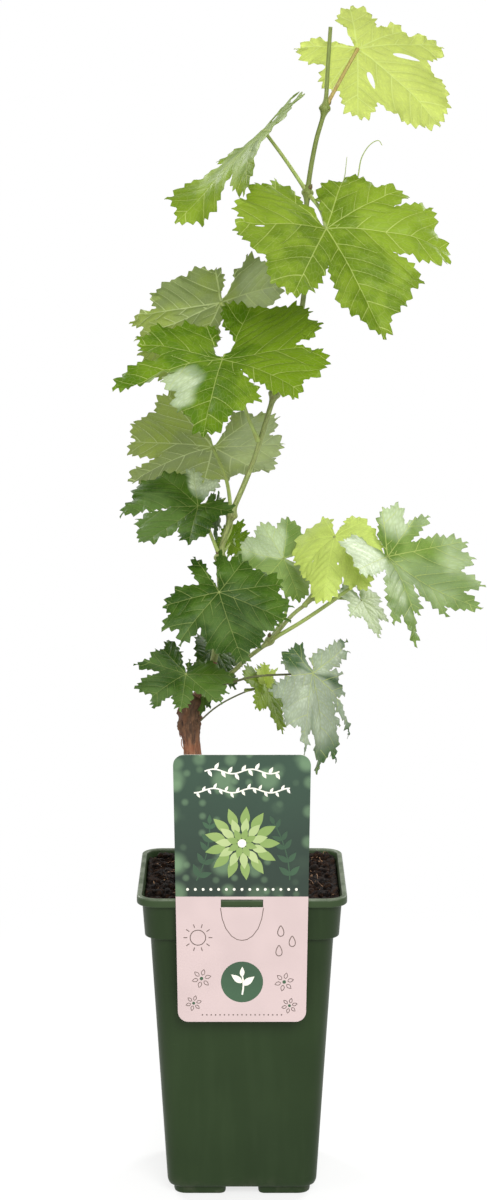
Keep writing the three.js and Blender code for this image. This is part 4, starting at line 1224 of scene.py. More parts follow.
def scatter(name, ground, made, values):
    """Runs a scatter on ground and returns its result as a plain mesh object."""
    tree, sockets = made
    carrier = add_object(name + "_ground", ground.data.copy())
    modifier = carrier.modifiers.new(name, "NODES")
    modifier.node_group = tree
    for key, value in values.items():
        modifier[sockets[key]] = value
    depsgraph = bpy.context.evaluated_depsgraph_get()
    mesh = bpy.data.meshes.new_from_object(carrier.evaluated_get(depsgraph))
    if not mesh.polygons:
        raise RuntimeError(name + " came out empty")
    mesh.name = name
    carrier.modifiers.remove(modifier)
    bpy.data.objects.remove(carrier)
    mesh.materials.clear()
    mesh.materials.append(values["Material"])
    mesh.polygons.foreach_set("material_index", [0] * len(mesh.polygons))
    mesh.polygons.foreach_set("use_smooth", [True] * len(mesh.polygons))
    return add_object(name, mesh)


# ---- pot, soil and label ----
def square_ring(half, radius, z, steps=10):
    """A square with round corners, counter-clockwise seen from above."""
    ring = []
    for corner in range(4):
        sign_x = 1 if corner in (0, 3) else -1
        sign_y = 1 if corner < 2 else -1
        for i in range(steps + 1):
            angle = (corner + i / steps) * math.pi / 2
            ring.append((sign_x * (half - radius) + radius * math.cos(angle),
                         sign_y * (half - radius) + radius * math.sin(angle), z))
        # The straight side to the next corner, in a few stretches.
        after = (corner + 1) % 4
        next_x = (1 if after in (0, 3) else -1) * (half - radius)
        next_y = (1 if after < 2 else -1) * (half - radius)
        angle = (corner + 1) * math.pi / 2
        end = np.array([next_x + radius * math.cos(angle), next_y + radius * math.sin(angle)])
        here = np.array(ring[-1][:2])
        for t in (0.2, 0.4, 0.6, 0.8):
            ring.append((*(here + (end - here) * t), z))
    return np.array(ring)


def rounded_profile(rows, bevel, steps=3):
    """A profile of (half, corner radius, height) rows with each of its corners rounded."""
    rows = np.array(rows, float)
    out = [rows[0]]
    for k in range(1, len(rows) - 1):
        before, here, after = rows[k - 1], rows[k], rows[k + 1]
        one, two = before - here, after - here
        first = min(bevel[k], 0.45 * np.hypot(one[0], one[2]))
        second = min(bevel[k], 0.45 * np.hypot(two[0], two[2]))
        a = here + one / max(np.hypot(one[0], one[2]), 1e-9) * first
        b = here + two / max(np.hypot(two[0], two[2]), 1e-9) * second
        for t in np.linspace(0, 1, steps + 1):
            out.append((1 - t)**2 * a + 2 * t * (1 - t) * here + t**2 * b)
    out.append(rows[-1])
    return out


def ring_shell(shape, rings, slot=0):
    """A closed shell through rings, capped at both ends."""
    count = len(rings[0])
    points = np.concatenate(rings)
    faces = ring_faces(len(rings), count)
    last = (len(rings) - 1) * count
    for start, flip in ((0, True), (last, False)):
        hub = len(points)
        points = np.vstack([points, points[start:start + count].mean(axis=0)])
        for i in range(count):
            a, b = start + i, start + (i + 1) % count
            faces.append((hub, b, a) if flip else (hub, a, b))
    shape.add(points, faces, slot)


def make_pot(settings, material):
    """The pot: body, collar, rolled lip, inside and four feet."""
    half = settings.rim_width / MM / 2
    top = settings.height / MM
    lip = top - settings.lip_height / MM
    ledge = lip - 20
    rows = [
        (38, 6, 4.4), (42.2, 8.5, 4.9), (43.4, 9, 8.0), (52.5, 11, ledge), (55.6, 12, ledge + 0.5),
        (57.0, 12, lip - 0.1), (half, 12, lip + 0.4), (half, 12, top), (57.4, 10.5, top),
        (57.0, 10, top - 0.8), (53.75, 10, ledge + 2), (50.5, 9, ledge + 1.6), (41.5, 7, 9),
        (20, 5, 9),
    ]
    bevel = [0, 1.2, 1.0, 0.7, 0.6, 0.5, 1.0, 1.2, 0.8, 1.0, 0.6, 0.6, 2.0, 0]
    shape = Shape()
    ring_shell(shape, [square_ring(*row) for row in rounded_profile(rows, bevel)])
    for corner in range(4):
        add_foot(shape, corner)
    return shape.build("pot_body", [material], sharp=40)


def add_foot(shape, corner):
    """An L-shaped foot with rounded ends under one corner, set in from the wall."""
    turn = corner * math.pi / 2
    outer, inner, end = 39.6, 19.0, 9.5
    outline = []
    for x, y, sign_x, sign_y, radius, first in (
        (outer, end, -1, 1, 3.0, -90), (outer, outer, -1, -1, 7.0, 0),
        (end, outer, 1, -1, 3.0, 90), (end, inner, 1, 1, 3.0, 180),
        (inner, inner, 0, 0, 0, 0), (inner, end, 1, 1, 3.0, 180),
    ):
        for i in range(6 if radius else 1):
            angle = math.radians(first + 90 * i / 5)
            outline.append((x + radius * (sign_x + math.cos(angle)),
                            y + radius * (sign_y + math.sin(angle))))
    outline = np.array(outline)
    centre = np.array([26.0, 26.0])
    rings = []
    for z, shrink in ((0.0, 0.95), (0.4, 0.98), (1.2, 1.0), (6.0, 1.02)):
        ring = centre + (outline - centre) * shrink
        x = ring[:, 0] * math.cos(turn) - ring[:, 1] * math.sin(turn)
        y = ring[:, 0] * math.sin(turn) + ring[:, 1] * math.cos(turn)
        rings.append(np.stack([x, y, np.full(len(x), z)], axis=1))
    ring_shell(shape, rings)


def soil_height(x, y):
    """Height of the soil's uneven top, in mm: higher along the walls and at the back."""
    p = Vector((x, y, 0))
    broad = noise.noise(p / 24) * 1.8
    lumps = noise.noise(p / 7 + Vector((9, 4, 2))) * 3.0
    fine = abs(noise.noise(p / 2.6)) * 1.8
    wall = max(abs(x), y, -0.75 * y) / SOIL_HALF
    foot = math.exp(-((x - MAIN[0][0])**2 + (y - MAIN[0][1])**2) / 150)
    uneven = (broad + lumps) * (1 - 0.7 * foot) + fine
    back = 3.0 * (max(y, 0) / SOIL_HALF)**2
    return min(171.0 + uneven + 1.5 * foot + 6.5 * wall**3 + back, SOIL_LIMIT)


def make_soil(material):
    """The soil's crumbly top, on a block that fills the pot to just under it."""
    outline = square_ring(SOIL_HALF, 10.0, 0, 6)[:, :2]
    fine = []
    for a, b in zip(outline, np.roll(outline, -1, axis=0)):
        count = max(1, round(np.linalg.norm(b - a) / 1.5))
        fine += [a + (b - a) * i / count for i in range(count)]
    outline = np.array(fine)
    flat, triangles, _ = filled(outline, 1.3)
    top = np.array([(x, y, soil_height(x, y)) for x, y in flat])
    loops = open_edges(triangles)
    order = dict(loops)
    first = loops[0][0]
    ring = [first]
    while order[ring[-1]] != first:
        ring.append(order[ring[-1]])
    points = list(map(tuple, top))
    base = len(points)
    for i in ring:
        points.append((flat[i][0] * 0.925, flat[i][1] * 0.925, SOIL_FLOOR))
    hub = len(points)
    points.append((0, 0, SOIL_FLOOR))
    faces = [tuple(t) for t in triangles.tolist()]
    count = len(ring)
    for k in range(count):
        a, b = ring[k], ring[(k + 1) % count]
        low_a, low_b = base + k, base + (k + 1) % count
        faces.append((b, a, low_a, low_b))
        faces.append((hub, low_b, low_a))
    shape = Shape()
    shape.add(points, faces)
    return shape.build("soil_top", [material])


def plate(outline, front, thick, holes=(), step=6.0):
    """A flat plate facing the front of the pot: points, faces, how many of them face the front."""
    flat, triangles, _ = filled(np.asarray(outline, float), step, holes)
    total = len(flat)
    face = np.stack([flat[:, 0], np.full(total, front), flat[:, 1]], axis=1)
    front_faces, back_faces, sides, _ = shell_faces(triangles, total)
    points = np.concatenate([face, face + [0, thick, 0]])
    return points, front_faces + back_faces + sides, len(front_faces)


def strip(points, width, closed=False):
    """Outline of a line of that width through points."""
    points = np.asarray(points, float)
    if closed:
        points = np.vstack([points, points[:1]])
    ahead = unit(np.gradient(points, axis=0))
    if closed:
        ahead[0] = ahead[-1] = unit(ahead[0] + ahead[-1])
    across = np.stack([-ahead[:, 1], ahead[:, 0]], axis=1) * width / 2
    return np.concatenate([points - across, (points + across)[::-1]])


def printed_leaf(at, aim, length, width):
    """Outline of a plain pointed leaf."""
    t = np.linspace(0, 1, 9)
    half = width / 2 * np.sin(math.pi * t**0.8)
    aim = math.radians(aim)
    run = np.concatenate([t, t[::-1][1:-1]]) * length
    across = np.concatenate([-half, half[::-1][1:-1]])
    x = at[0] + run * math.cos(aim) - across * math.sin(aim)
    z = at[1] + run * math.sin(aim) + across * math.cos(aim)
    return np.stack([x, z], axis=1)


def circle(at, radius, angles):
    """The points of a circle at those angles."""
    return np.stack([at[0] + radius * np.cos(angles), at[1] + radius * np.sin(angles)], axis=1)


def disc(at, radius, sides=14):
    """Outline of a round dot."""
    return circle(at, radius, np.arange(sides) * 2 * math.pi / sides)


def card_outline(settings, low, high, round_low, round_high):
    """Outline of a band of the tapered card, with or without its round corners."""
    def half(z):
        share = (z - LABEL_LOW) / (LABEL_HIGH - LABEL_LOW)
        wider = settings.top_width - settings.bottom_width
        return (settings.bottom_width + wider * share) / MM / 2

    radii = [round_low, round_high, round_high, round_low]
    corners = [(1, low), (1, high), (-1, high), (-1, low)]
    out = []
    for (side, z), radius, first in zip(corners, radii, (-90, 0, 90, 180)):
        x = side * half(z)
        if radius == 0:
            out.append((x, z))
            continue
        centre = (x - side * radius, z + (radius if z == low else -radius))
        for i in range(8):
            angle = math.radians(first + 90 * i / 7)
            out.append((centre[0] + radius * math.cos(angle),
                        centre[1] + radius * math.sin(angle)))
    return np.array(out)


def add_print(shape, outline, slot, layer=1):
    """A motif printed on the card: a very thin plate on its front."""
    rise = PRINT_LAYER * layer
    points, faces, _ = plate(outline, LABEL_FRONT - rise, rise + 0.01, step=50.0)
    shape.add(points, faces, slot)


def sprig(shape, start, aim, length, leaves, slot, leaf_length):
    """A bowed twig with pairs of plain leaves."""
    aim = math.radians(aim)
    t = np.linspace(0, 1, 14)
    turn = aim + 0.5 * (t - 0.5)
    steps = length / 13 * np.stack([np.cos(turn), np.sin(turn)], axis=1)
    line = np.array(start) + np.cumsum(steps, axis=0)
    add_print(shape, strip(line, 0.7), slot)
    for k in range(leaves):
        i = 1 + round(k * 11 / max(1, leaves - 1))
        along_deg = math.degrees(turn[i])
        for side in (-1, 1):
            size = leaf_length * (1 - 0.35 * k / leaves)
            add_print(shape, printed_leaf(line[i], along_deg + side * 48, size, size * 0.42),
                      slot, layer=3 if side > 0 else 2)
    add_print(shape, printed_leaf(line[-1], math.degrees(turn[-1]), leaf_length * 0.7,
                                  leaf_length * 0.3), slot, layer=4)


def ring_line(at, radius, width, sides=28):
    """Outline pieces of a drawn circle, as two half rings."""
    out = []
    for half in (0, 1):
        angles = np.linspace(half * math.pi, (half + 1) * math.pi, sides // 2 + 1)
        out.append(strip(circle(at, radius, angles), width))
    return out


def make_label(settings, materials):
    """The hanging card: two printed fields, the slot, the flap folded back on to the rim."""
    shape = Shape()
    slot_low, slot_high, split = 177.7, 182.3, 184.0
    slot_hole = np.array(
        [(-12, slot_low), (12, slot_low), (12, slot_high), (-12, slot_high)], float)
    bands = (
        (card_outline(settings, split, LABEL_HIGH, 0, 6.0), (), 1),
        (card_outline(settings, LABEL_LOW, split, 6.0, 0), (slot_hole,), 2),
    )
    for outline, holes, field in bands:
        points, faces, fronts = plate(outline, LABEL_FRONT, LABEL_THICK, holes, step=7.0)
        slots = [field] * fronts + [0] * (len(faces) - fronts)
        shape.add(points, faces, slots)
    # The flap, from the slot's upper edge back over the rim.
    plan = ((-11.7, -61.0), (11.7, -61.0), (11.7, -58.0), (10.2, -56.4), (-10.2, -56.4),
            (-11.7, -58.0))
    flap = [(x, y, z) for z in (182.35, 182.85) for x, y in plan]
    sides = [(i, (i + 1) % 6, (i + 1) % 6 + 6, i + 6) for i in range(6)]
    shape.add(flap, [tuple(range(5, -1, -1)), tuple(range(6, 12)), *sides], 2)
    # The tongue's cut, below the slot.
    tongue = [(-12.2, 177.4), (-11.2, 171), (-9.2, 165.4), (-6.0, 161.0), (-2.8, 158.9), (0, 158.4),
              (2.8, 158.9), (6.0, 161.0), (9.2, 165.4), (11.2, 171), (12.2, 177.4)]
    add_print(shape, strip(tongue, 0.45), 6)
    # The garden field: two garlands over a large rosette of leaves, with a row of dots.
    cream, fresh, deep, line = 3, 4, 5, 6
    for level, reach, count, leaf_length in ((256.5, 21, 11, 4.4), (245.5, 27, 17, 3.4)):
        wave = [(x, level + 1.3 * math.sin(x / 3.4)) for x in np.linspace(-reach, reach, 50)]
        add_print(shape, strip(wave, 0.8), cream)
        for k in range(count):
            x = (-1 + 2 * (k + 0.5) / count) * reach
            add_print(shape, printed_leaf((x, level + 1.3 * math.sin(x / 3.4)),
                                          60 if k % 2 else -60, leaf_length, leaf_length * 0.46),
                      cream, layer=2)
    for ring, (count, start, petal, wide) in enumerate((
            (13, 9.5, 12.0, 5.4), (11, 5.5, 9.5, 4.6), (8, 2.0, 7.0, 3.8))):
        for k in range(count):
            aim = 360 * k / count + 14 * ring
            at = (start * math.cos(math.radians(aim)), 215 + start * math.sin(math.radians(aim)))
            add_print(shape, printed_leaf(at, aim, petal, wide), (fresh, 7, fresh)[ring],
                      layer=5 + ring)
    add_print(shape, disc((0, 215), 2.4, 24), cream, layer=8)
    for side in (-1, 1):
        sprig(shape, (side * 27, 191), 90 + side * 14, 34, 5, deep, 8)
    for k in range(15):
        add_print(shape, disc((-30.8 + 4.4 * k, 188.2), 0.8), cream)
    # The pale field: a sun, drops, small flowers, a seedling in a round patch.
    for part in ring_line((-25, 160), 4.4, 0.5):
        add_print(shape, part, line)
    for k in range(10):
        angle = math.radians(36 * k)
        ray = [(-25 + r * math.cos(angle), 160 + r * math.sin(angle)) for r in (6.0, 7.1, 8.2)]
        add_print(shape, strip(ray, 0.5), line)
    for x, z in ((22, 164), (28.5, 158), (21, 152.5)):
        drop = [(x + 2.3 * math.sin(a) * math.sin(a / 2), z + 3.2 * math.cos(a))
                for a in np.linspace(0.25, 2 * math.pi - 0.25, 22)]
        add_print(shape, strip(drop, 0.5), line)
    for x, z, radius in ((-23, 136, 2.3), (24, 134, 2.3), (-27.5, 121.5, 1.9), (27, 120, 1.9)):
        for k in range(6):
            angle = math.radians(60 * k + 15)
            foot = (x + 0.9 * radius * math.cos(angle), z + 0.9 * radius * math.sin(angle))
            petal = printed_leaf(foot, 60 * k + 15, radius * 1.5, radius * 0.85)
            add_print(shape, strip(petal, 0.4, closed=True), line)
        add_print(shape, disc((x, z), radius * 0.45), deep, layer=2)
    add_print(shape, disc((0, 134), 12.0, 44), deep)
    stem = [(0.8 * math.sin((z - 126) / 4), z) for z in np.linspace(126.5, 138, 8)]
    add_print(shape, strip(stem, 0.9), cream, layer=2)
    leaves = ((38, (0.4, 132), 8.5), (142, (0.2, 133.5), 8.0), (88, (0, 137), 6.0))
    for layer, (aim, at, length) in enumerate(leaves, 3):
        add_print(shape, printed_leaf(at, aim, length, length * 0.45), cream, layer)
    for k in range(19):
        add_print(shape, disc((-22.5 + 2.5 * k, 114.6), 0.45, 8), line)
    return shape.build("label_card", materials, sharp=30)


# ---- materials of the pieces ----
def pot_material(settings):
    """Moulded plastic: a fine grain, broad clouds, a few rubbed places and dust at the foot."""
    made, tree, output = new_material("pot_plastic")
    place = object_place(tree)
    cloud = speckle(tree, place, 14, 3.0)
    flow = speckle(tree, stretched(tree, place, (1, 1, 0.12)), 120, 2.0)
    grain = speckle(tree, place, 1500, 2.0)
    scuff = fade(tree, speckle(tree, stretched(tree, place, (1, 1, 6)), 60, 5.0, 0.7), 0.66, 0.76)
    colour = mixed(tree, fade(tree, cloud, 0.3, 0.7), settings.colour, settings.shade)
    colour = mixed(tree, calc(tree, "MULTIPLY", fade(tree, flow, 0.4, 0.7), 0.05), colour,
                   settings.worn)
    height_above = put(tree, "ShaderNodeSeparateXYZ", {0: place}).outputs[2]
    low = fade(tree, height_above, 0.014, 0.0, 0.0, 0.16)
    dust = calc(tree, "MULTIPLY", low, fade(tree, speckle(tree, place, 90, 4.0), 0.45, 0.65))
    colour = mixed(tree, calc(tree, "MULTIPLY", scuff, 0.15), colour, settings.worn)
    # Painted highlight: from under the lip up, the plastic is painted part way to the lighter wear
    # colour, where the lip faces up to the light.
    under_lip = settings.height - settings.lip_height
    lip = fade(tree, height_above, under_lip - 0.0006, under_lip + 0.0004, 0.0, 0.3)
    colour = mixed(tree, lip, colour, settings.worn)
    rim = fade(tree, height_above, settings.height - 0.0016, settings.height, 0.0, 0.55)
    rubbed = fade(tree, speckle(tree, place, 70, 4.0), 0.35, 0.6, 0.3, 1.0)
    rim = calc(tree, "MULTIPLY", rim, rubbed)
    colour = mixed(tree, rim, colour, tint("8C9482"))
    colour = mixed(tree, dust, colour, tint("6A665A"))
    rough = calc(tree, "MULTIPLY_ADD", scuff, 0.14, fade(tree, cloud, 0.3, 0.7, 0.40, 0.46))
    height = calc(tree, "MULTIPLY_ADD", grain, 0.5, calc(tree, "MULTIPLY", flow, 0.25))
    principled(tree, output, colour, rough, height, depth=0.00010, strength=0.5,
               Specular_IOR_Level=0.18)
    return made


def soil_material(name, dark, brown, pale):
    """Moist peat: dark, with brown and a few pale bits."""
    made, tree, output = new_material(name)
    place = object_place(tree)
    lumps = speckle(tree, place, 330, 4.0, 0.65)
    bits = speckle(tree, place, 1300, 2.0)
    colour = mixed(tree, fade(tree, lumps, 0.42, 0.68), dark, brown)
    colour = mixed(tree, calc(tree, "MULTIPLY", fade(tree, bits, 0.66, 0.75), 0.7), colour, pale)
    rough = fade(tree, lumps, 0.3, 0.7, 0.62, 0.95)
    height = calc(tree, "MULTIPLY_ADD", bits, 0.5, lumps)
    principled(tree, output, colour, rough, height, depth=0.0009, Specular_IOR_Level=0.1)
    return made


def strand_material(name, light, dark):
    """Dry fibres of bark and peat."""
    made, tree, output = new_material(name)
    place = object_place(tree)
    mix = fade(tree, speckle(tree, place, 210, 3.0), 0.35, 0.65)
    colour = mixed(tree, mix, dark, light)
    fine = speckle(tree, stretched(tree, place, (1, 1, 0.2)), 1800, 2.0)
    principled(tree, output, colour, fade(tree, fine, 0.3, 0.7, 0.7, 0.9), fine, depth=0.0002)
    return made


def stem_material(name, colours, blotch, fineness, roughness, depth, spots=None, upper=None):
    """A stem's skin or bark. colours: light, dark, blotch. upper: start, end, share, colour."""
    shared = bpy.data.node_groups.get("stem_fibres") or fibre_effect()
    made, tree, output = new_material(name)
    light, dark, mark = colours
    skin = put(tree, "ShaderNodeGroup", {"Light": light, "Dark": dark, "Blotch": mark,
                                         "Blotch Share": blotch, "Fineness": fineness},
               node_tree=shared)
    colour, height = skin.outputs["Color"], skin.outputs["Height"]
    if spots is not None:
        dots = put(tree, "ShaderNodeTexVoronoi", {"Vector": object_place(tree), "Scale": 420.0})
        dot = calc(tree, "SUBTRACT", 1, fade(tree, dots.outputs["Distance"], 0.12, 0.22))
        colour = mixed(tree, calc(tree, "MULTIPLY", dot, 0.5), colour, spots)
    if upper is not None:
        start, end, share, tone = upper
        rise = put(tree, "ShaderNodeSeparateXYZ", {0: object_place(tree)}).outputs[2]
        colour = mixed(tree, fade(tree, rise, start, end, 0.0, share), colour, tone)
    rough = fade(tree, height, 0.3, 0.7, roughness - 0.06, roughness + 0.08)
    principled(tree, output, colour, rough, height, depth=depth, Specular_IOR_Level=0.35)
    return made


def cut_material():
    """The pale, ringed end of a cut stem."""
    made, tree, output = new_material("cut_end")
    place = object_place(tree)
    rings = speckle(tree, place, 900, 3.0)
    colour = mixed(tree, fade(tree, rings, 0.35, 0.65), tint("8C8C52"), tint("B9B27A"))
    principled(tree, output, colour, fade(tree, rings, 0.3, 0.7, 0.7, 0.85), rings, depth=0.0003)
    return made


def coated(tree, output, place, colour, roughness):
    """The faint grain and thin gloss of coated card, joined to the output."""
    grain = speckle(tree, place, 2200, 2.0)
    rough = fade(tree, grain, 0.3, 0.7, roughness - 0.04, roughness + 0.06)
    principled(tree, output, colour, rough, grain, depth=0.00003, strength=0.5,
               Coat_Weight=0.12, Coat_Roughness=0.2)


def card_material(name, colour, second, roughness=0.38):
    """Coated card in one ink, with a faint grain and a hardly visible change of tone."""
    made, tree, output = new_material(name)
    place = object_place(tree)
    broad = speckle(tree, place, 30, 2.0)
    shade = mixed(tree, fade(tree, broad, 0.35, 0.65), colour, second)
    coated(tree, output, place, shade, roughness)
    return made


def garden_material(settings):
    """The upper field: deep green that clears upwards, with soft round lights behind the print."""
    made, tree, output = new_material("print_garden")
    place = object_place(tree)
    split = put(tree, "ShaderNodeSeparateXYZ", {0: place})
    rise = fade(tree, split.outputs[2], 0.186, 0.262)
    cloud = speckle(tree, place, 34, 2.0)
    softness = calc(tree, "MULTIPLY_ADD", rise, 0.6, calc(tree, "MULTIPLY", cloud, 0.3))
    colour = mixed(tree, softness, settings.garden_deep, settings.garden_soft)
    flat = put(tree, "ShaderNodeCombineXYZ", {0: split.outputs[0], 1: split.outputs[2]}).outputs[0]
    # Large soft lights, at three scales.
    for scale, share, size in ((40.0, 0.50, 0.34), (66.0, 0.40, 0.32), (110.0, 0.34, 0.30)):
        spots = put(tree, "ShaderNodeTexVoronoi",
                    {"Vector": flat, "Scale": scale, "Randomness": 0.6}, voronoi_dimensions="2D")
        light = calc(tree, "SUBTRACT", 1, fade(tree, spots.outputs["Distance"], size - 0.22, size))
        drawn = put(tree, "ShaderNodeSeparateColor", {0: spots.outputs["Color"]}).outputs[0]
        some = fade(tree, drawn, 0.45, 0.75)
        light = calc(tree, "MULTIPLY", calc(tree, "MULTIPLY", light, some), share)
        colour = mixed(tree, light, colour, settings.garden_light)
    coated(tree, output, place, colour, 0.37)
    return made


# ---- settings ----
# For each tone of leaf: face, patches on the face, underside, share of painted sheen, vein strength.
TONES = {
    "sunlit": ("C8D375", "D3DD85", "CFD887", 0.0, 0.8),
    "pale": ("CCDB7E", "C0CF70", "CED6AA", 0.0, 0.8),
    "bright": ("6D891B", "93AC32", "8B9F4E", 0.0, 0.78),
    "fresh": ("587D06", "7E9D1C", "83932C", 0.0, 0.82),
    "mid": ("8A9E4C", "A6B650", "93A06C", 0.0, 1.0),
    "deep": ("345712", "587C24", "84905A", 0.05, 0.42),
    "silvery": ("71903E", "91AD56", "93A374", 0.10, 0.8),
    "hoary": ("365334", "4F7143", "647A70", 0.15, 0.8),
}


def colour(name, text, code):
    """A colour setting with its default."""
    return bpy.props.FloatVectorProperty(
        name=name, description=text, subtype="COLOR", size=3, min=0.0, max=1.0, default=tint(code))


def length(name, text, default):
    """A length setting, in metres."""
    return bpy.props.FloatProperty(
        name=name, description=text, subtype="DISTANCE", unit="LENGTH", min=0.0, default=default,
        precision=5)


def number(name, text, default, low=0.0, high=1.0):
    """A plain number setting."""
    return bpy.props.FloatProperty(name=name, description=text, min=low, max=high, default=default)


POT_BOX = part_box("pot")


class PotSettings(bpy.types.PropertyGroup):
    """Sizes and colours of the pot."""

    rim_width: length("Rim width", "Outer width over the lip", POT_BOX[1].x - POT_BOX[0].x)
    height: length("Height", "From the floor to the rim", POT_BOX[1].z)
    lip_height: length("Lip height", "Height of the thick lip", 0.0054)
    colour: colour("Plastic", "Colour of the plastic", "25361A")
    shade: colour("Plastic shade", "Second colour, in broad clouds", "203016")
    # Colour of streaks and scuffs, and of the painted highlight on the lip.
    worn: colour("Worn plastic", "Colour of streaks and scuffs", "4A5C3E")


class SoilSettings(bpy.types.PropertyGroup):
    """Crumbs, fibres and colours of the soil."""

    crumb_density: number("Crumb density", "Crumbs for each square metre", 150000.0, 0, 1e6)
    crumb_smallest: length("Smallest crumb", "Radius of the smallest crumb", 0.0004)
    crumb_largest: length("Largest crumb", "Radius of the largest crumb", 0.0031)
    fibre_density: number("Fibre density", "Fibres for each square metre", 42000.0, 0, 1e6)
    fibre_smallest: length("Shortest fibre", "Length of the shortest fibre", 0.004)
    fibre_largest: length("Longest fibre", "Length of the longest fibre", 0.016)
    seed: bpy.props.IntProperty(name="Seed", description="Seed of the scatter", default=7)
    dark: colour("Wet peat", "Darkest colour of the soil", "0E0907")
    brown: colour("Peat", "Brown of the soil", "34241A")
    pale: colour("Pale bits", "Pale bits in the soil", "6A5844")
    fibre_light: colour("Light fibre", "Lighter fibres", "A88260")
    fibre_dark: colour("Dark fibre", "Darker fibres", "3E2A1E")


class LabelSettings(bpy.types.PropertyGroup):
    """Sizes and inks of the hanging card."""

    top_width: length("Top width", "Width at the top", 0.0775)
    bottom_width: length("Bottom width", "Width at the bottom", 0.073)
    garden_deep: colour("Garden deep", "Darkest green of the upper field", "15261C")
    garden_soft: colour("Garden soft", "Softer green of the upper field", "2B4835")
    garden_light: colour("Garden light", "Round lights of the upper field", "76966F")
    blush: colour("Blush", "Lower field", "C6B2B0")
    cream: colour("Cream ink", "Pale print", "E9E8DE")
    fresh: colour("Fresh ink", "Light green print", "8CA35E")
    deep: colour("Deep ink", "Dark green print", "35563A")
    line: colour("Line ink", "Thin drawn lines", "5A4A44")


class WoodSettings(bpy.types.PropertyGroup):
    """Bark of the trunk and of the old arm."""

    relief: length("Relief", "Depth of the bark's ridges", 0.00030)
    strip_density: number("Strip density", "Peeling strips for each square metre", 12000.0, 0, 1e6)
    light: colour("Light bark", "Ridges of the bark", "966C50")
    dark: colour("Dark bark", "Furrows of the bark", "3C2A22")
    blotch: colour("Red bark", "Fresh red-brown bark", "7C4A32")
    cane_light: colour("Light cane", "Ridges of the arm", "8C6C50")
    cane_dark: colour("Dark cane", "Furrows of the arm", "483426")


class ShootSettings(bpy.types.PropertyGroup):
    """Green shoots, stalks and tendrils."""

    swelling: length("Node swelling", "Extra radius at a node", 0.0016)
    stalk_radius: length("Stalk radius", "Radius of a large leaf's stalk", 0.00118)
    light: colour("Light shoot", "Light skin of the shoots", "A2AC6A")
    dark: colour("Dark shoot", "Darker streaks of the shoots", "64743A")
    blotch: colour("Brown shoot", "Brown flush on nodes and sunny sides", "666034")
    stalk_light: colour("Light stalk", "Light skin of the stalks", "A3B468")
    stalk_dark: colour("Dark stalk", "Darker streaks of the stalks", "7C9048")
    stalk_red: colour("Red stalk", "Red flush of a stalk in the sun", "8A6438")
    stalk_dim: colour("Dim stalk", "Skin of the thin stalks by the trunk", "6C7046")
    bud: colour("Bud scales", "Scales of the buds", "6A4E34")


class LeafSettings(bpy.types.PropertyGroup):
    """Blade, teeth, veins and colours of the leaves."""

    thickness: length("Thickness", "Thickness of a blade", 0.00034)
    detail: length("Detail", "Shortest mesh edge", 0.0006)
    tooth_width: length("Tooth width", "Width of a tooth on a large leaf", 0.0054)
    tooth_depth: number("Tooth depth", "Depth of a tooth as a share of its width", 0.55)
    vein_spacing: number("Vein spacing", "Distance of side veins as a share of the leaf", 0.15)
    quilting: length("Quilting", "Height of the pads between the veins", 0.0012)
    waviness: length("Waviness", "Slow waves of the blade", 0.0018)
    translucence: number("Translucence", "Share of light that passes through each face", 0.38)
    vein: colour("Vein", "Colour of the veins", "D6E08C")
    tooth_tip: colour("Tooth tip", "Colour of the tips of the teeth", "6A6B4A")
    # Painted sheen: a pale colour that stands for the lights' reflection on some lobes, and in places
    # for the paler underside.
    silver: colour("Silver", "Silvery sheen of some lobes", "E2EADC")
    for _tone, (_face, _patch, _under, _share, _strength) in TONES.items():
        __annotations__[_tone + "_face"] = colour(_tone + " face", "Face of a leaf", _face)
        __annotations__[_tone + "_patch"] = colour(_tone + " patches", "Patches on a face", _patch)
        __annotations__[_tone + "_under"] = colour(_tone + " underside", "Underside", _under)


class StudioSettings(bpy.types.PropertyGroup):
    """Camera, lights and floor."""

    lens: bpy.props.FloatProperty(
        name="Lens", description="Focal length", subtype="DISTANCE_CAMERA", default=92.4)
    distance: length("Distance", "From the pot's middle to the camera", 1.752)
    camera_height: length("Camera height", "Above the floor", 0.638)
    tilt: bpy.props.FloatProperty(
        name="Tilt", description="How far the camera looks down", subtype="ANGLE", default=0.1663)
    floor: colour("Floor", "Pale floor", "F4F4F2")
    ambient: number("Ambient", "Strength of the light from all round", 0.34, 0, 10)
    key: number("Key", "Power of the large front light, in watts", 58.0, 0, 500)
    fill: number("Fill", "Power of the side light, in watts", 9.0, 0, 500)
    back: number("Back", "Power of each back light, in watts", 42.0, 0, 500)


class GrapevineSettings(bpy.types.PropertyGroup):
    """All settings of the potted grapevine."""

    pot: bpy.props.PointerProperty(type=PotSettings, name="Pot")
    soil: bpy.props.PointerProperty(type=SoilSettings, name="Soil")
    label: bpy.props.PointerProperty(type=LabelSettings, name="Label")
    wood: bpy.props.PointerProperty(type=WoodSettings, name="Wood")
    shoots: bpy.props.PointerProperty(type=ShootSettings, name="Shoots")
    leaves: bpy.props.PointerProperty(type=LeafSettings, name="Leaves")
    studio: bpy.props.PointerProperty(type=StudioSettings, name="Studio")


def finish_piece(obj, slot, *nodes):
    """A piece rides the one body and stands for its nodes; slot is not used."""
    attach(obj, BODY)
    if nodes:
        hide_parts(*nodes)


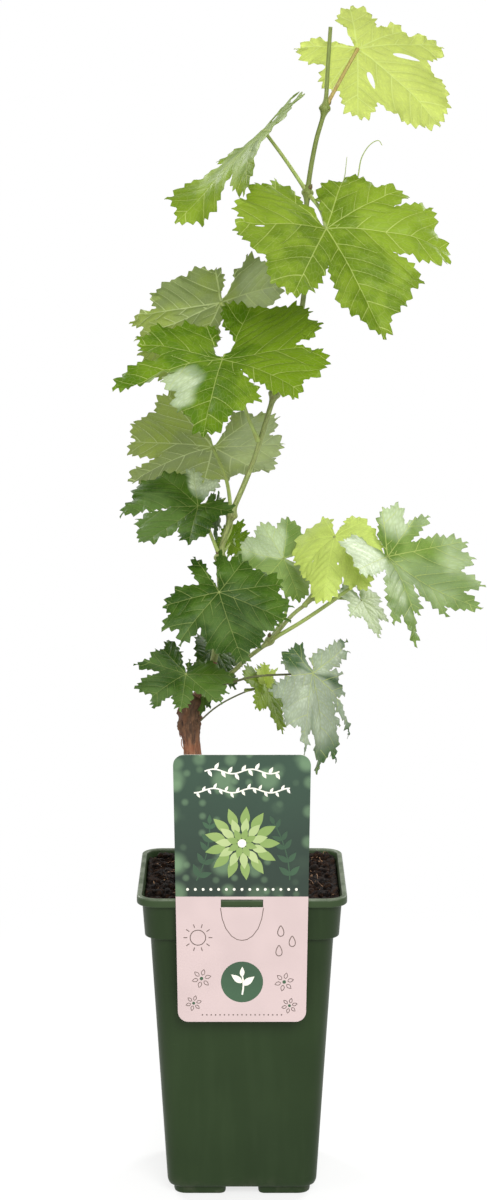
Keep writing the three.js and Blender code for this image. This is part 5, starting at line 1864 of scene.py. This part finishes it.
# ---- operators ----
class GRAPEVINE_OT_stage(bpy.types.Operator):
    """Adds the floor, the lights and the camera"""

    bl_idname = "grapevine.stage"
    bl_label = "Stage"

    def execute(self, context):
        settings = context.scene.grapevine.studio
        scene = context.scene
        floor = Shape()
        angles = np.arange(64) * 2 * math.pi / 64
        rim = np.stack([9000 * np.cos(angles), 9000 * np.sin(angles), np.zeros(64)], axis=1)
        floor.add(np.vstack([rim, [[0, 0, 0]]]), [(64, i, (i + 1) % 64) for i in range(64)])
        made, tree, output = new_material("floor")
        shader = principled(tree, output, settings.floor, 0.9)
        glow = put(tree, "ShaderNodeEmission", {"Color": (1, 1, 1, 1), "Strength": 1.0})
        away = put(tree, "ShaderNodeVectorMath", {0: object_place(tree)}, operation="LENGTH")
        share = fade(tree, away.outputs["Value"], 0.08, 0.60, 0.72, 1.0)
        both = put(tree, "ShaderNodeMixShader", {0: share, 1: shader.outputs[0],
                                                 2: glow.outputs[0]})
        tree.links.new(both.outputs[0], output.inputs[0])
        obj = floor.build("floor", [made])
        world = bpy.data.worlds.new("studio")
        scene.world = world
        world.use_nodes = True
        tree = world.node_tree
        tree.nodes.clear()
        output = tree.nodes.new("ShaderNodeOutputWorld")
        seen = put(tree, "ShaderNodeBackground", {"Color": (1, 1, 1, 1), "Strength": 1.0})
        lit = put(tree, "ShaderNodeBackground", {"Color": (1, 1, 1, 1),
                                                 "Strength": settings.ambient})
        path = put(tree, "ShaderNodeLightPath")
        both = put(tree, "ShaderNodeMixShader", {0: path.outputs["Is Camera Ray"],
                                                 1: lit.outputs[0], 2: seen.outputs[0]})
        tree.links.new(both.outputs[0], output.inputs[0])
        middle = Vector((0.02, 0, 0.40))
        for name, place, size, power in (
            ("key_light", (0.45, -2.1, 1.5), 1.5, settings.key),
            ("fill_light", (-1.9, -1.4, 0.9), 1.2, settings.fill),
            ("back_light_right", (1.5, 1.7, 1.5), 1.1, settings.back),
            ("back_light_left", (-1.5, 1.8, 1.6), 1.1, settings.back),
            ("top_light", (0.1, -0.1, 2.6), 1.2, settings.fill),
        ):
            data = bpy.data.lights.new(name, "AREA")
            data.shape = "DISK"
            data.size = size
            data.energy = power
            lamp = add_object(name, data)
            lamp.location = place
            lamp.rotation_euler = (middle - Vector(place)).to_track_quat("-Z", "Y").to_euler()
            lamp.visible_camera = False
        data = bpy.data.cameras.new("camera")
        data.lens = settings.lens
        camera = add_object("camera", data)
        camera.location = (0.00086, -settings.distance, settings.camera_height)
        camera.rotation_euler = (math.pi / 2 - settings.tilt, 0, 0)
        scene.camera = camera
        scene.view_settings.view_transform = "Standard"
        return {"FINISHED"}


class GRAPEVINE_OT_pot(bpy.types.Operator):
    """Adds the moulded pot"""

    bl_idname = "grapevine.pot"
    bl_label = "Pot"

    def execute(self, context):
        settings = context.scene.grapevine.pot
        finish_piece(make_pot(settings, pot_material(settings)), "pot", "pot")
        return {"FINISHED"}


class GRAPEVINE_OT_soil(bpy.types.Operator):
    """Adds the soil with its crumbs and fibres"""

    bl_idname = "grapevine.soil"
    bl_label = "Soil"

    def execute(self, context):
        settings = context.scene.grapevine.soil
        peat = (settings.dark, settings.brown, settings.pale)
        ground = make_soil(soil_material("soil_peat", *peat))
        flat = top_only(ground, "soil_ground")
        crumbs = scatter("soil_crumbs", flat, crumb_tree(), {
            "Density": settings.crumb_density, "Smallest": settings.crumb_smallest,
            "Largest": settings.crumb_largest, "Seed": settings.seed,
            "Material": soil_material("soil_crumb", *peat)})
        fibres = scatter("soil_fibres", flat, fibre_tree("soil_fibres", 0.00022, False, 0.006), {
            "Density": settings.fibre_density, "Smallest": settings.fibre_smallest,
            "Largest": settings.fibre_largest, "Seed": settings.seed + 1,
            "Material": strand_material(
                "soil_fibre", settings.fibre_light, settings.fibre_dark)})
        bpy.data.objects.remove(flat)
        finish_piece(ground, "soil", "soil")
        finish_piece(crumbs, "soil")
        finish_piece(fibres, "soil")
        return {"FINISHED"}


def top_only(obj, name):
    """A copy of the faces of obj that look up, for things to lie on."""
    mesh = obj.data
    keep = [p for p in mesh.polygons if p.normal.z > 0.2]
    shape = Shape()
    inner = [p for p in keep if max(abs(p.center.x), abs(p.center.y)) < 0.0515]
    shape.points = [tuple(np.array(v.co) / MM) for v in mesh.vertices]
    shape.faces = [tuple(p.vertices) for p in inner]
    shape.slots = [0] * len(inner)
    shape.grain = [(0, 0, 0)] * len(shape.points)
    return shape.build(name, [])


class GRAPEVINE_OT_label(bpy.types.Operator):
    """Adds the hanging card with its plain print"""

    bl_idname = "grapevine.label"
    bl_label = "Label"

    def execute(self, context):
        settings = context.scene.grapevine.label
        blush = tuple(settings.blush)
        softer = tuple(0.94 * c for c in blush)
        materials = [
            card_material("card_stock", tint("E4E2DA"), tint("DCDAD2"), 0.55),
            garden_material(settings),
            card_material("print_blush", blush, softer),
            card_material("ink_cream", settings.cream, tint("E6E4D4")),
            card_material("ink_fresh", settings.fresh, tint("7C964F")),
            card_material("ink_deep", settings.deep, tint("2E4C33")),
            card_material("ink_line", settings.line, tint("66564E")),
            card_material("ink_soft", tint("B2C086"), tint("A3B579")),
        ]
        finish_piece(make_label(settings, materials), "card", "label")
        return {"FINISHED"}


class GRAPEVINE_OT_wood(bpy.types.Operator):
    """Adds the barky trunk with its knobbly head, and the old arm"""

    bl_idname = "grapevine.wood"
    bl_label = "Trunk and arm"

    def execute(self, context):
        settings = context.scene.grapevine.wood
        bark = stem_material(
            "bark", (settings.light, settings.dark, settings.blotch),
            0.75, 3.4, 0.8, 0.0009, upper=(0.258, 0.272, 0.6, tint("4A3826")))
        cane = stem_material(
            "cane_bark", (settings.cane_light, settings.cane_dark, settings.blotch),
            0.5, 4.5, 0.68, 0.0004)
        path, _ = smooth_path(MAIN, 0.7, 0.05, 4.0)
        trunk = Shape()
        trunk.tube(path, trunk_radii(path), 96, knobbly(path, settings))
        obj = trunk.build("trunk_bark", [bark])
        strips = scatter("bark_strips", obj, fibre_tree("bark_strips", 0.00028, True, 0.0022), {
            "Density": settings.strip_density, "Smallest": 0.003, "Largest": 0.011, "Seed": 3,
            "Material": strand_material("bark_strip", settings.light, settings.dark)})
        finish_piece(obj, "bark", "trunk")
        finish_piece(strips, "bark")
        path, places = smooth_path(MAIN, 0.8, 3.8, 6.15)
        radii = np.interp(places, [3.8, 4.2, 6.15], [3.9, 3.3, 2.35])
        arm = Shape()
        arm.tube(path, radii, 48, ridges(path, 11.0, 0.16, 22, 22))
        finish_piece(arm.build("arm_bark", [cane]), "cane", "arm")
        return {"FINISHED"}


class GRAPEVINE_OT_shoots(bpy.types.Operator):
    """Adds the green shoots with their nodes and buds"""

    bl_idname = "grapevine.shoots"
    bl_label = "Shoots"

    def execute(self, context):
        settings = context.scene.grapevine.shoots
        skin = stem_material(
            "shoot_skin", (settings.light, settings.dark, settings.blotch), 0.45, 7.0, 0.5,
            0.0002, spots=tint("6B5A3C"), upper=(0.50, 0.57, 0.7, tint("667430")))
        scales = stem_material(
            "bud_scales", (settings.bud, tint("4A3A28"), tint("7E8C4A")), 0.4, 5.0, 0.7, 0.0003)
        materials = [skin, scales, cut_material()]
        shape = Shape()
        path, places = smooth_path(MAIN, 1.0, 5.9, 20.0)
        radii = radius_at(MAIN_RADIUS, places, MAIN, path, MAIN_NODES, settings.swelling)
        shape.tube(path, radii, 24, ridges(path, 5.0, 0.09, 12, 60), ends=("round", "flat"),
                   cut_slot=2)
        for node in MAIN_NODES:
            ahead = unit(MAIN[min(node + 1, len(MAIN) - 1)] - MAIN[node - 1])
            for leaf in LEAVES.values():
                foot = np.array(leaf["stalk"][0], float)
                if np.linalg.norm(foot - MAIN[node]) < 3:
                    out = np.array((leaf["stalk"] + [leaf["at"]])[1], float) - foot
                    out = unit(out - ahead * np.dot(out, ahead))
                    bud(shape, MAIN[node] + ahead * 2.2 + out * 1.5, ahead + out * 0.7, 3.4, 1)
                    for sign in (1, -1):
                        side = np.cross(ahead, out) * sign
                        bud(shape, MAIN[node] - ahead * 0.6 + side * 1.9 + out * 0.6,
                            ahead * 0.5 + side + out * 0.3, 1.9, 1)
        finish_piece(shape.build("main_shoot", materials, sharp=60), "shoot",
                     "shoot_lower", "shoot_middle", "shoot_upper")
        side = Shape()
        points = np.vstack([[-20.5, -9, 296.5], SIDE])
        path, places = smooth_path(points, 1.0)
        radii = np.interp(places, [0, 1, 8], [1.9, 1.5, 1.0])
        for node in SIDE_NODES:
            away = np.linalg.norm(path - SIDE[node], axis=1)
            radii = radii + settings.swelling / MM * np.exp(-(away / 3.0)**2)
        side.tube(path, radii, 20, ridges(path, 8.0, 0.08, 12, 60))
        bud(side, SIDE[4] + np.array([-0.5, -0.6, 2.0]), (0.2, -0.2, 1), 3.2, 1)
        bud(side, SIDE[7] + np.array([-0.4, 0, 0.2]), (1, 0.2, 0.8), 3.6, 1)
        obj = side.build("side_shoot_skin", [skin, scales], sharp=60)
        finish_piece(obj, "shoot", "side_shoot")
        return {"FINISHED"}


class GRAPEVINE_OT_stalks(bpy.types.Operator):
    """Adds the leaf stalks"""

    bl_idname = "grapevine.stalks"
    bl_label = "Leaf stalks"

    def execute(self, context):
        settings = context.scene.grapevine.shoots
        light, dark, red = settings.stalk_light, settings.stalk_dark, settings.stalk_red
        green = stem_material("stalk_skin", (light, dark, red), 0.25, 8.0, 0.48, 0.00015)
        flushed = stem_material(
            "stalk_flushed", (tint("A29A50"), red, light), 0.35, 8.0, 0.48, 0.00015)
        dim = stem_material(
            "stalk_dim", (settings.stalk_dim, tint("4A4630"), dark), 0.3, 8.0, 0.55, 0.00015)
        kinds = {"top": flushed, "low_pale": dim, "low_right": dim}
        for name, leaf in LEAVES.items():
            shape = Shape()
            make_stalk(shape, {**leaf, **DRESS.get(name, {})}, settings)
            material = kinds.get(name, green)
            obj = shape.build("stalk_skin_" + name, [material])
            finish_piece(obj, "stalk", "stalk_" + name)
        shape = Shape()
        for leaf in YOUNG_LEAVES.values():
            make_stalk(shape, leaf, settings)
        finish_piece(shape.build("stalk_skin_young", [green]), "stalk")
        return {"FINISHED"}


class GRAPEVINE_OT_leaves(bpy.types.Operator):
    """Adds the toothed and veined leaf blades"""

    bl_idname = "grapevine.leaves"
    bl_label = "Leaves"

    def execute(self, context):
        settings = context.scene.grapevine.leaves
        materials = leaf_materials(settings)
        for seed, (name, leaf) in enumerate({**LEAVES, **YOUNG_LEAVES}.items()):
            leaf = {**leaf, **DRESS.get(name, {})}
            obj = make_leaf("blade_" + name, leaf, settings, materials[leaf["tone"]], 20 + seed)
            if name in LEAVES:
                finish_piece(obj, "blade", "leaf_" + name)
            else:
                finish_piece(obj, "blade")
        return {"FINISHED"}


class GRAPEVINE_OT_tendrils(bpy.types.Operator):
    """Adds the tendrils"""

    bl_idname = "grapevine.tendrils"
    bl_label = "Tendrils"

    def execute(self, context):
        settings = context.scene.grapevine.shoots
        skin = stem_material(
            "tendril_skin", (settings.stalk_light, settings.stalk_dark, settings.stalk_red),
            0.3, 9.0, 0.5, 0.0001)
        shape = Shape()
        for points, thick in TENDRILS:
            path, _ = smooth_path(np.array(points, float), 0.8)
            t = np.linspace(0, 1, len(path))
            shape.tube(path, thick * (1 - 0.62 * t), 8)
        finish_piece(shape.build("tendrils", [skin]), "shoot")
        return {"FINISHED"}


class GRAPEVINE_PT_pieces(bpy.types.Panel):
    """Lists the pieces of the potted grapevine"""

    bl_label = "Potted grapevine"
    bl_idname = "GRAPEVINE_PT_pieces"
    bl_space_type = "VIEW_3D"
    bl_region_type = "UI"
    bl_category = "Grapevine"

    def draw(self, context):
        for operator in OPERATORS:
            self.layout.operator(operator.bl_idname)


OPERATORS = (
    GRAPEVINE_OT_stage, GRAPEVINE_OT_pot, GRAPEVINE_OT_soil, GRAPEVINE_OT_label,
    GRAPEVINE_OT_wood, GRAPEVINE_OT_shoots, GRAPEVINE_OT_stalks, GRAPEVINE_OT_leaves,
    GRAPEVINE_OT_tendrils,
)
CLASSES = (
    PotSettings, SoilSettings, LabelSettings, WoodSettings, ShootSettings, LeafSettings,
    StudioSettings, GrapevineSettings, *OPERATORS, GRAPEVINE_PT_pieces,
)


def register():
    """Registers the classes and the scene's settings."""
    for cls in CLASSES:
        bpy.utils.register_class(cls)
    bpy.types.Scene.grapevine = bpy.props.PointerProperty(type=GrapevineSettings)


def unregister():
    """Takes the settings and the classes away again."""
    del bpy.types.Scene.grapevine
    for cls in reversed(CLASSES):
        bpy.utils.unregister_class(cls)


def main():
    """Builds every piece in order."""
    register()
    bpy.ops.grapevine.stage()
    bpy.ops.grapevine.pot()
    bpy.ops.grapevine.soil()
    bpy.ops.grapevine.label()
    bpy.ops.grapevine.wood()
    bpy.ops.grapevine.shoots()
    bpy.ops.grapevine.stalks()
    bpy.ops.grapevine.leaves()
    bpy.ops.grapevine.tendrils()
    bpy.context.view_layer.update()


if __name__ == "__main__":
    main()
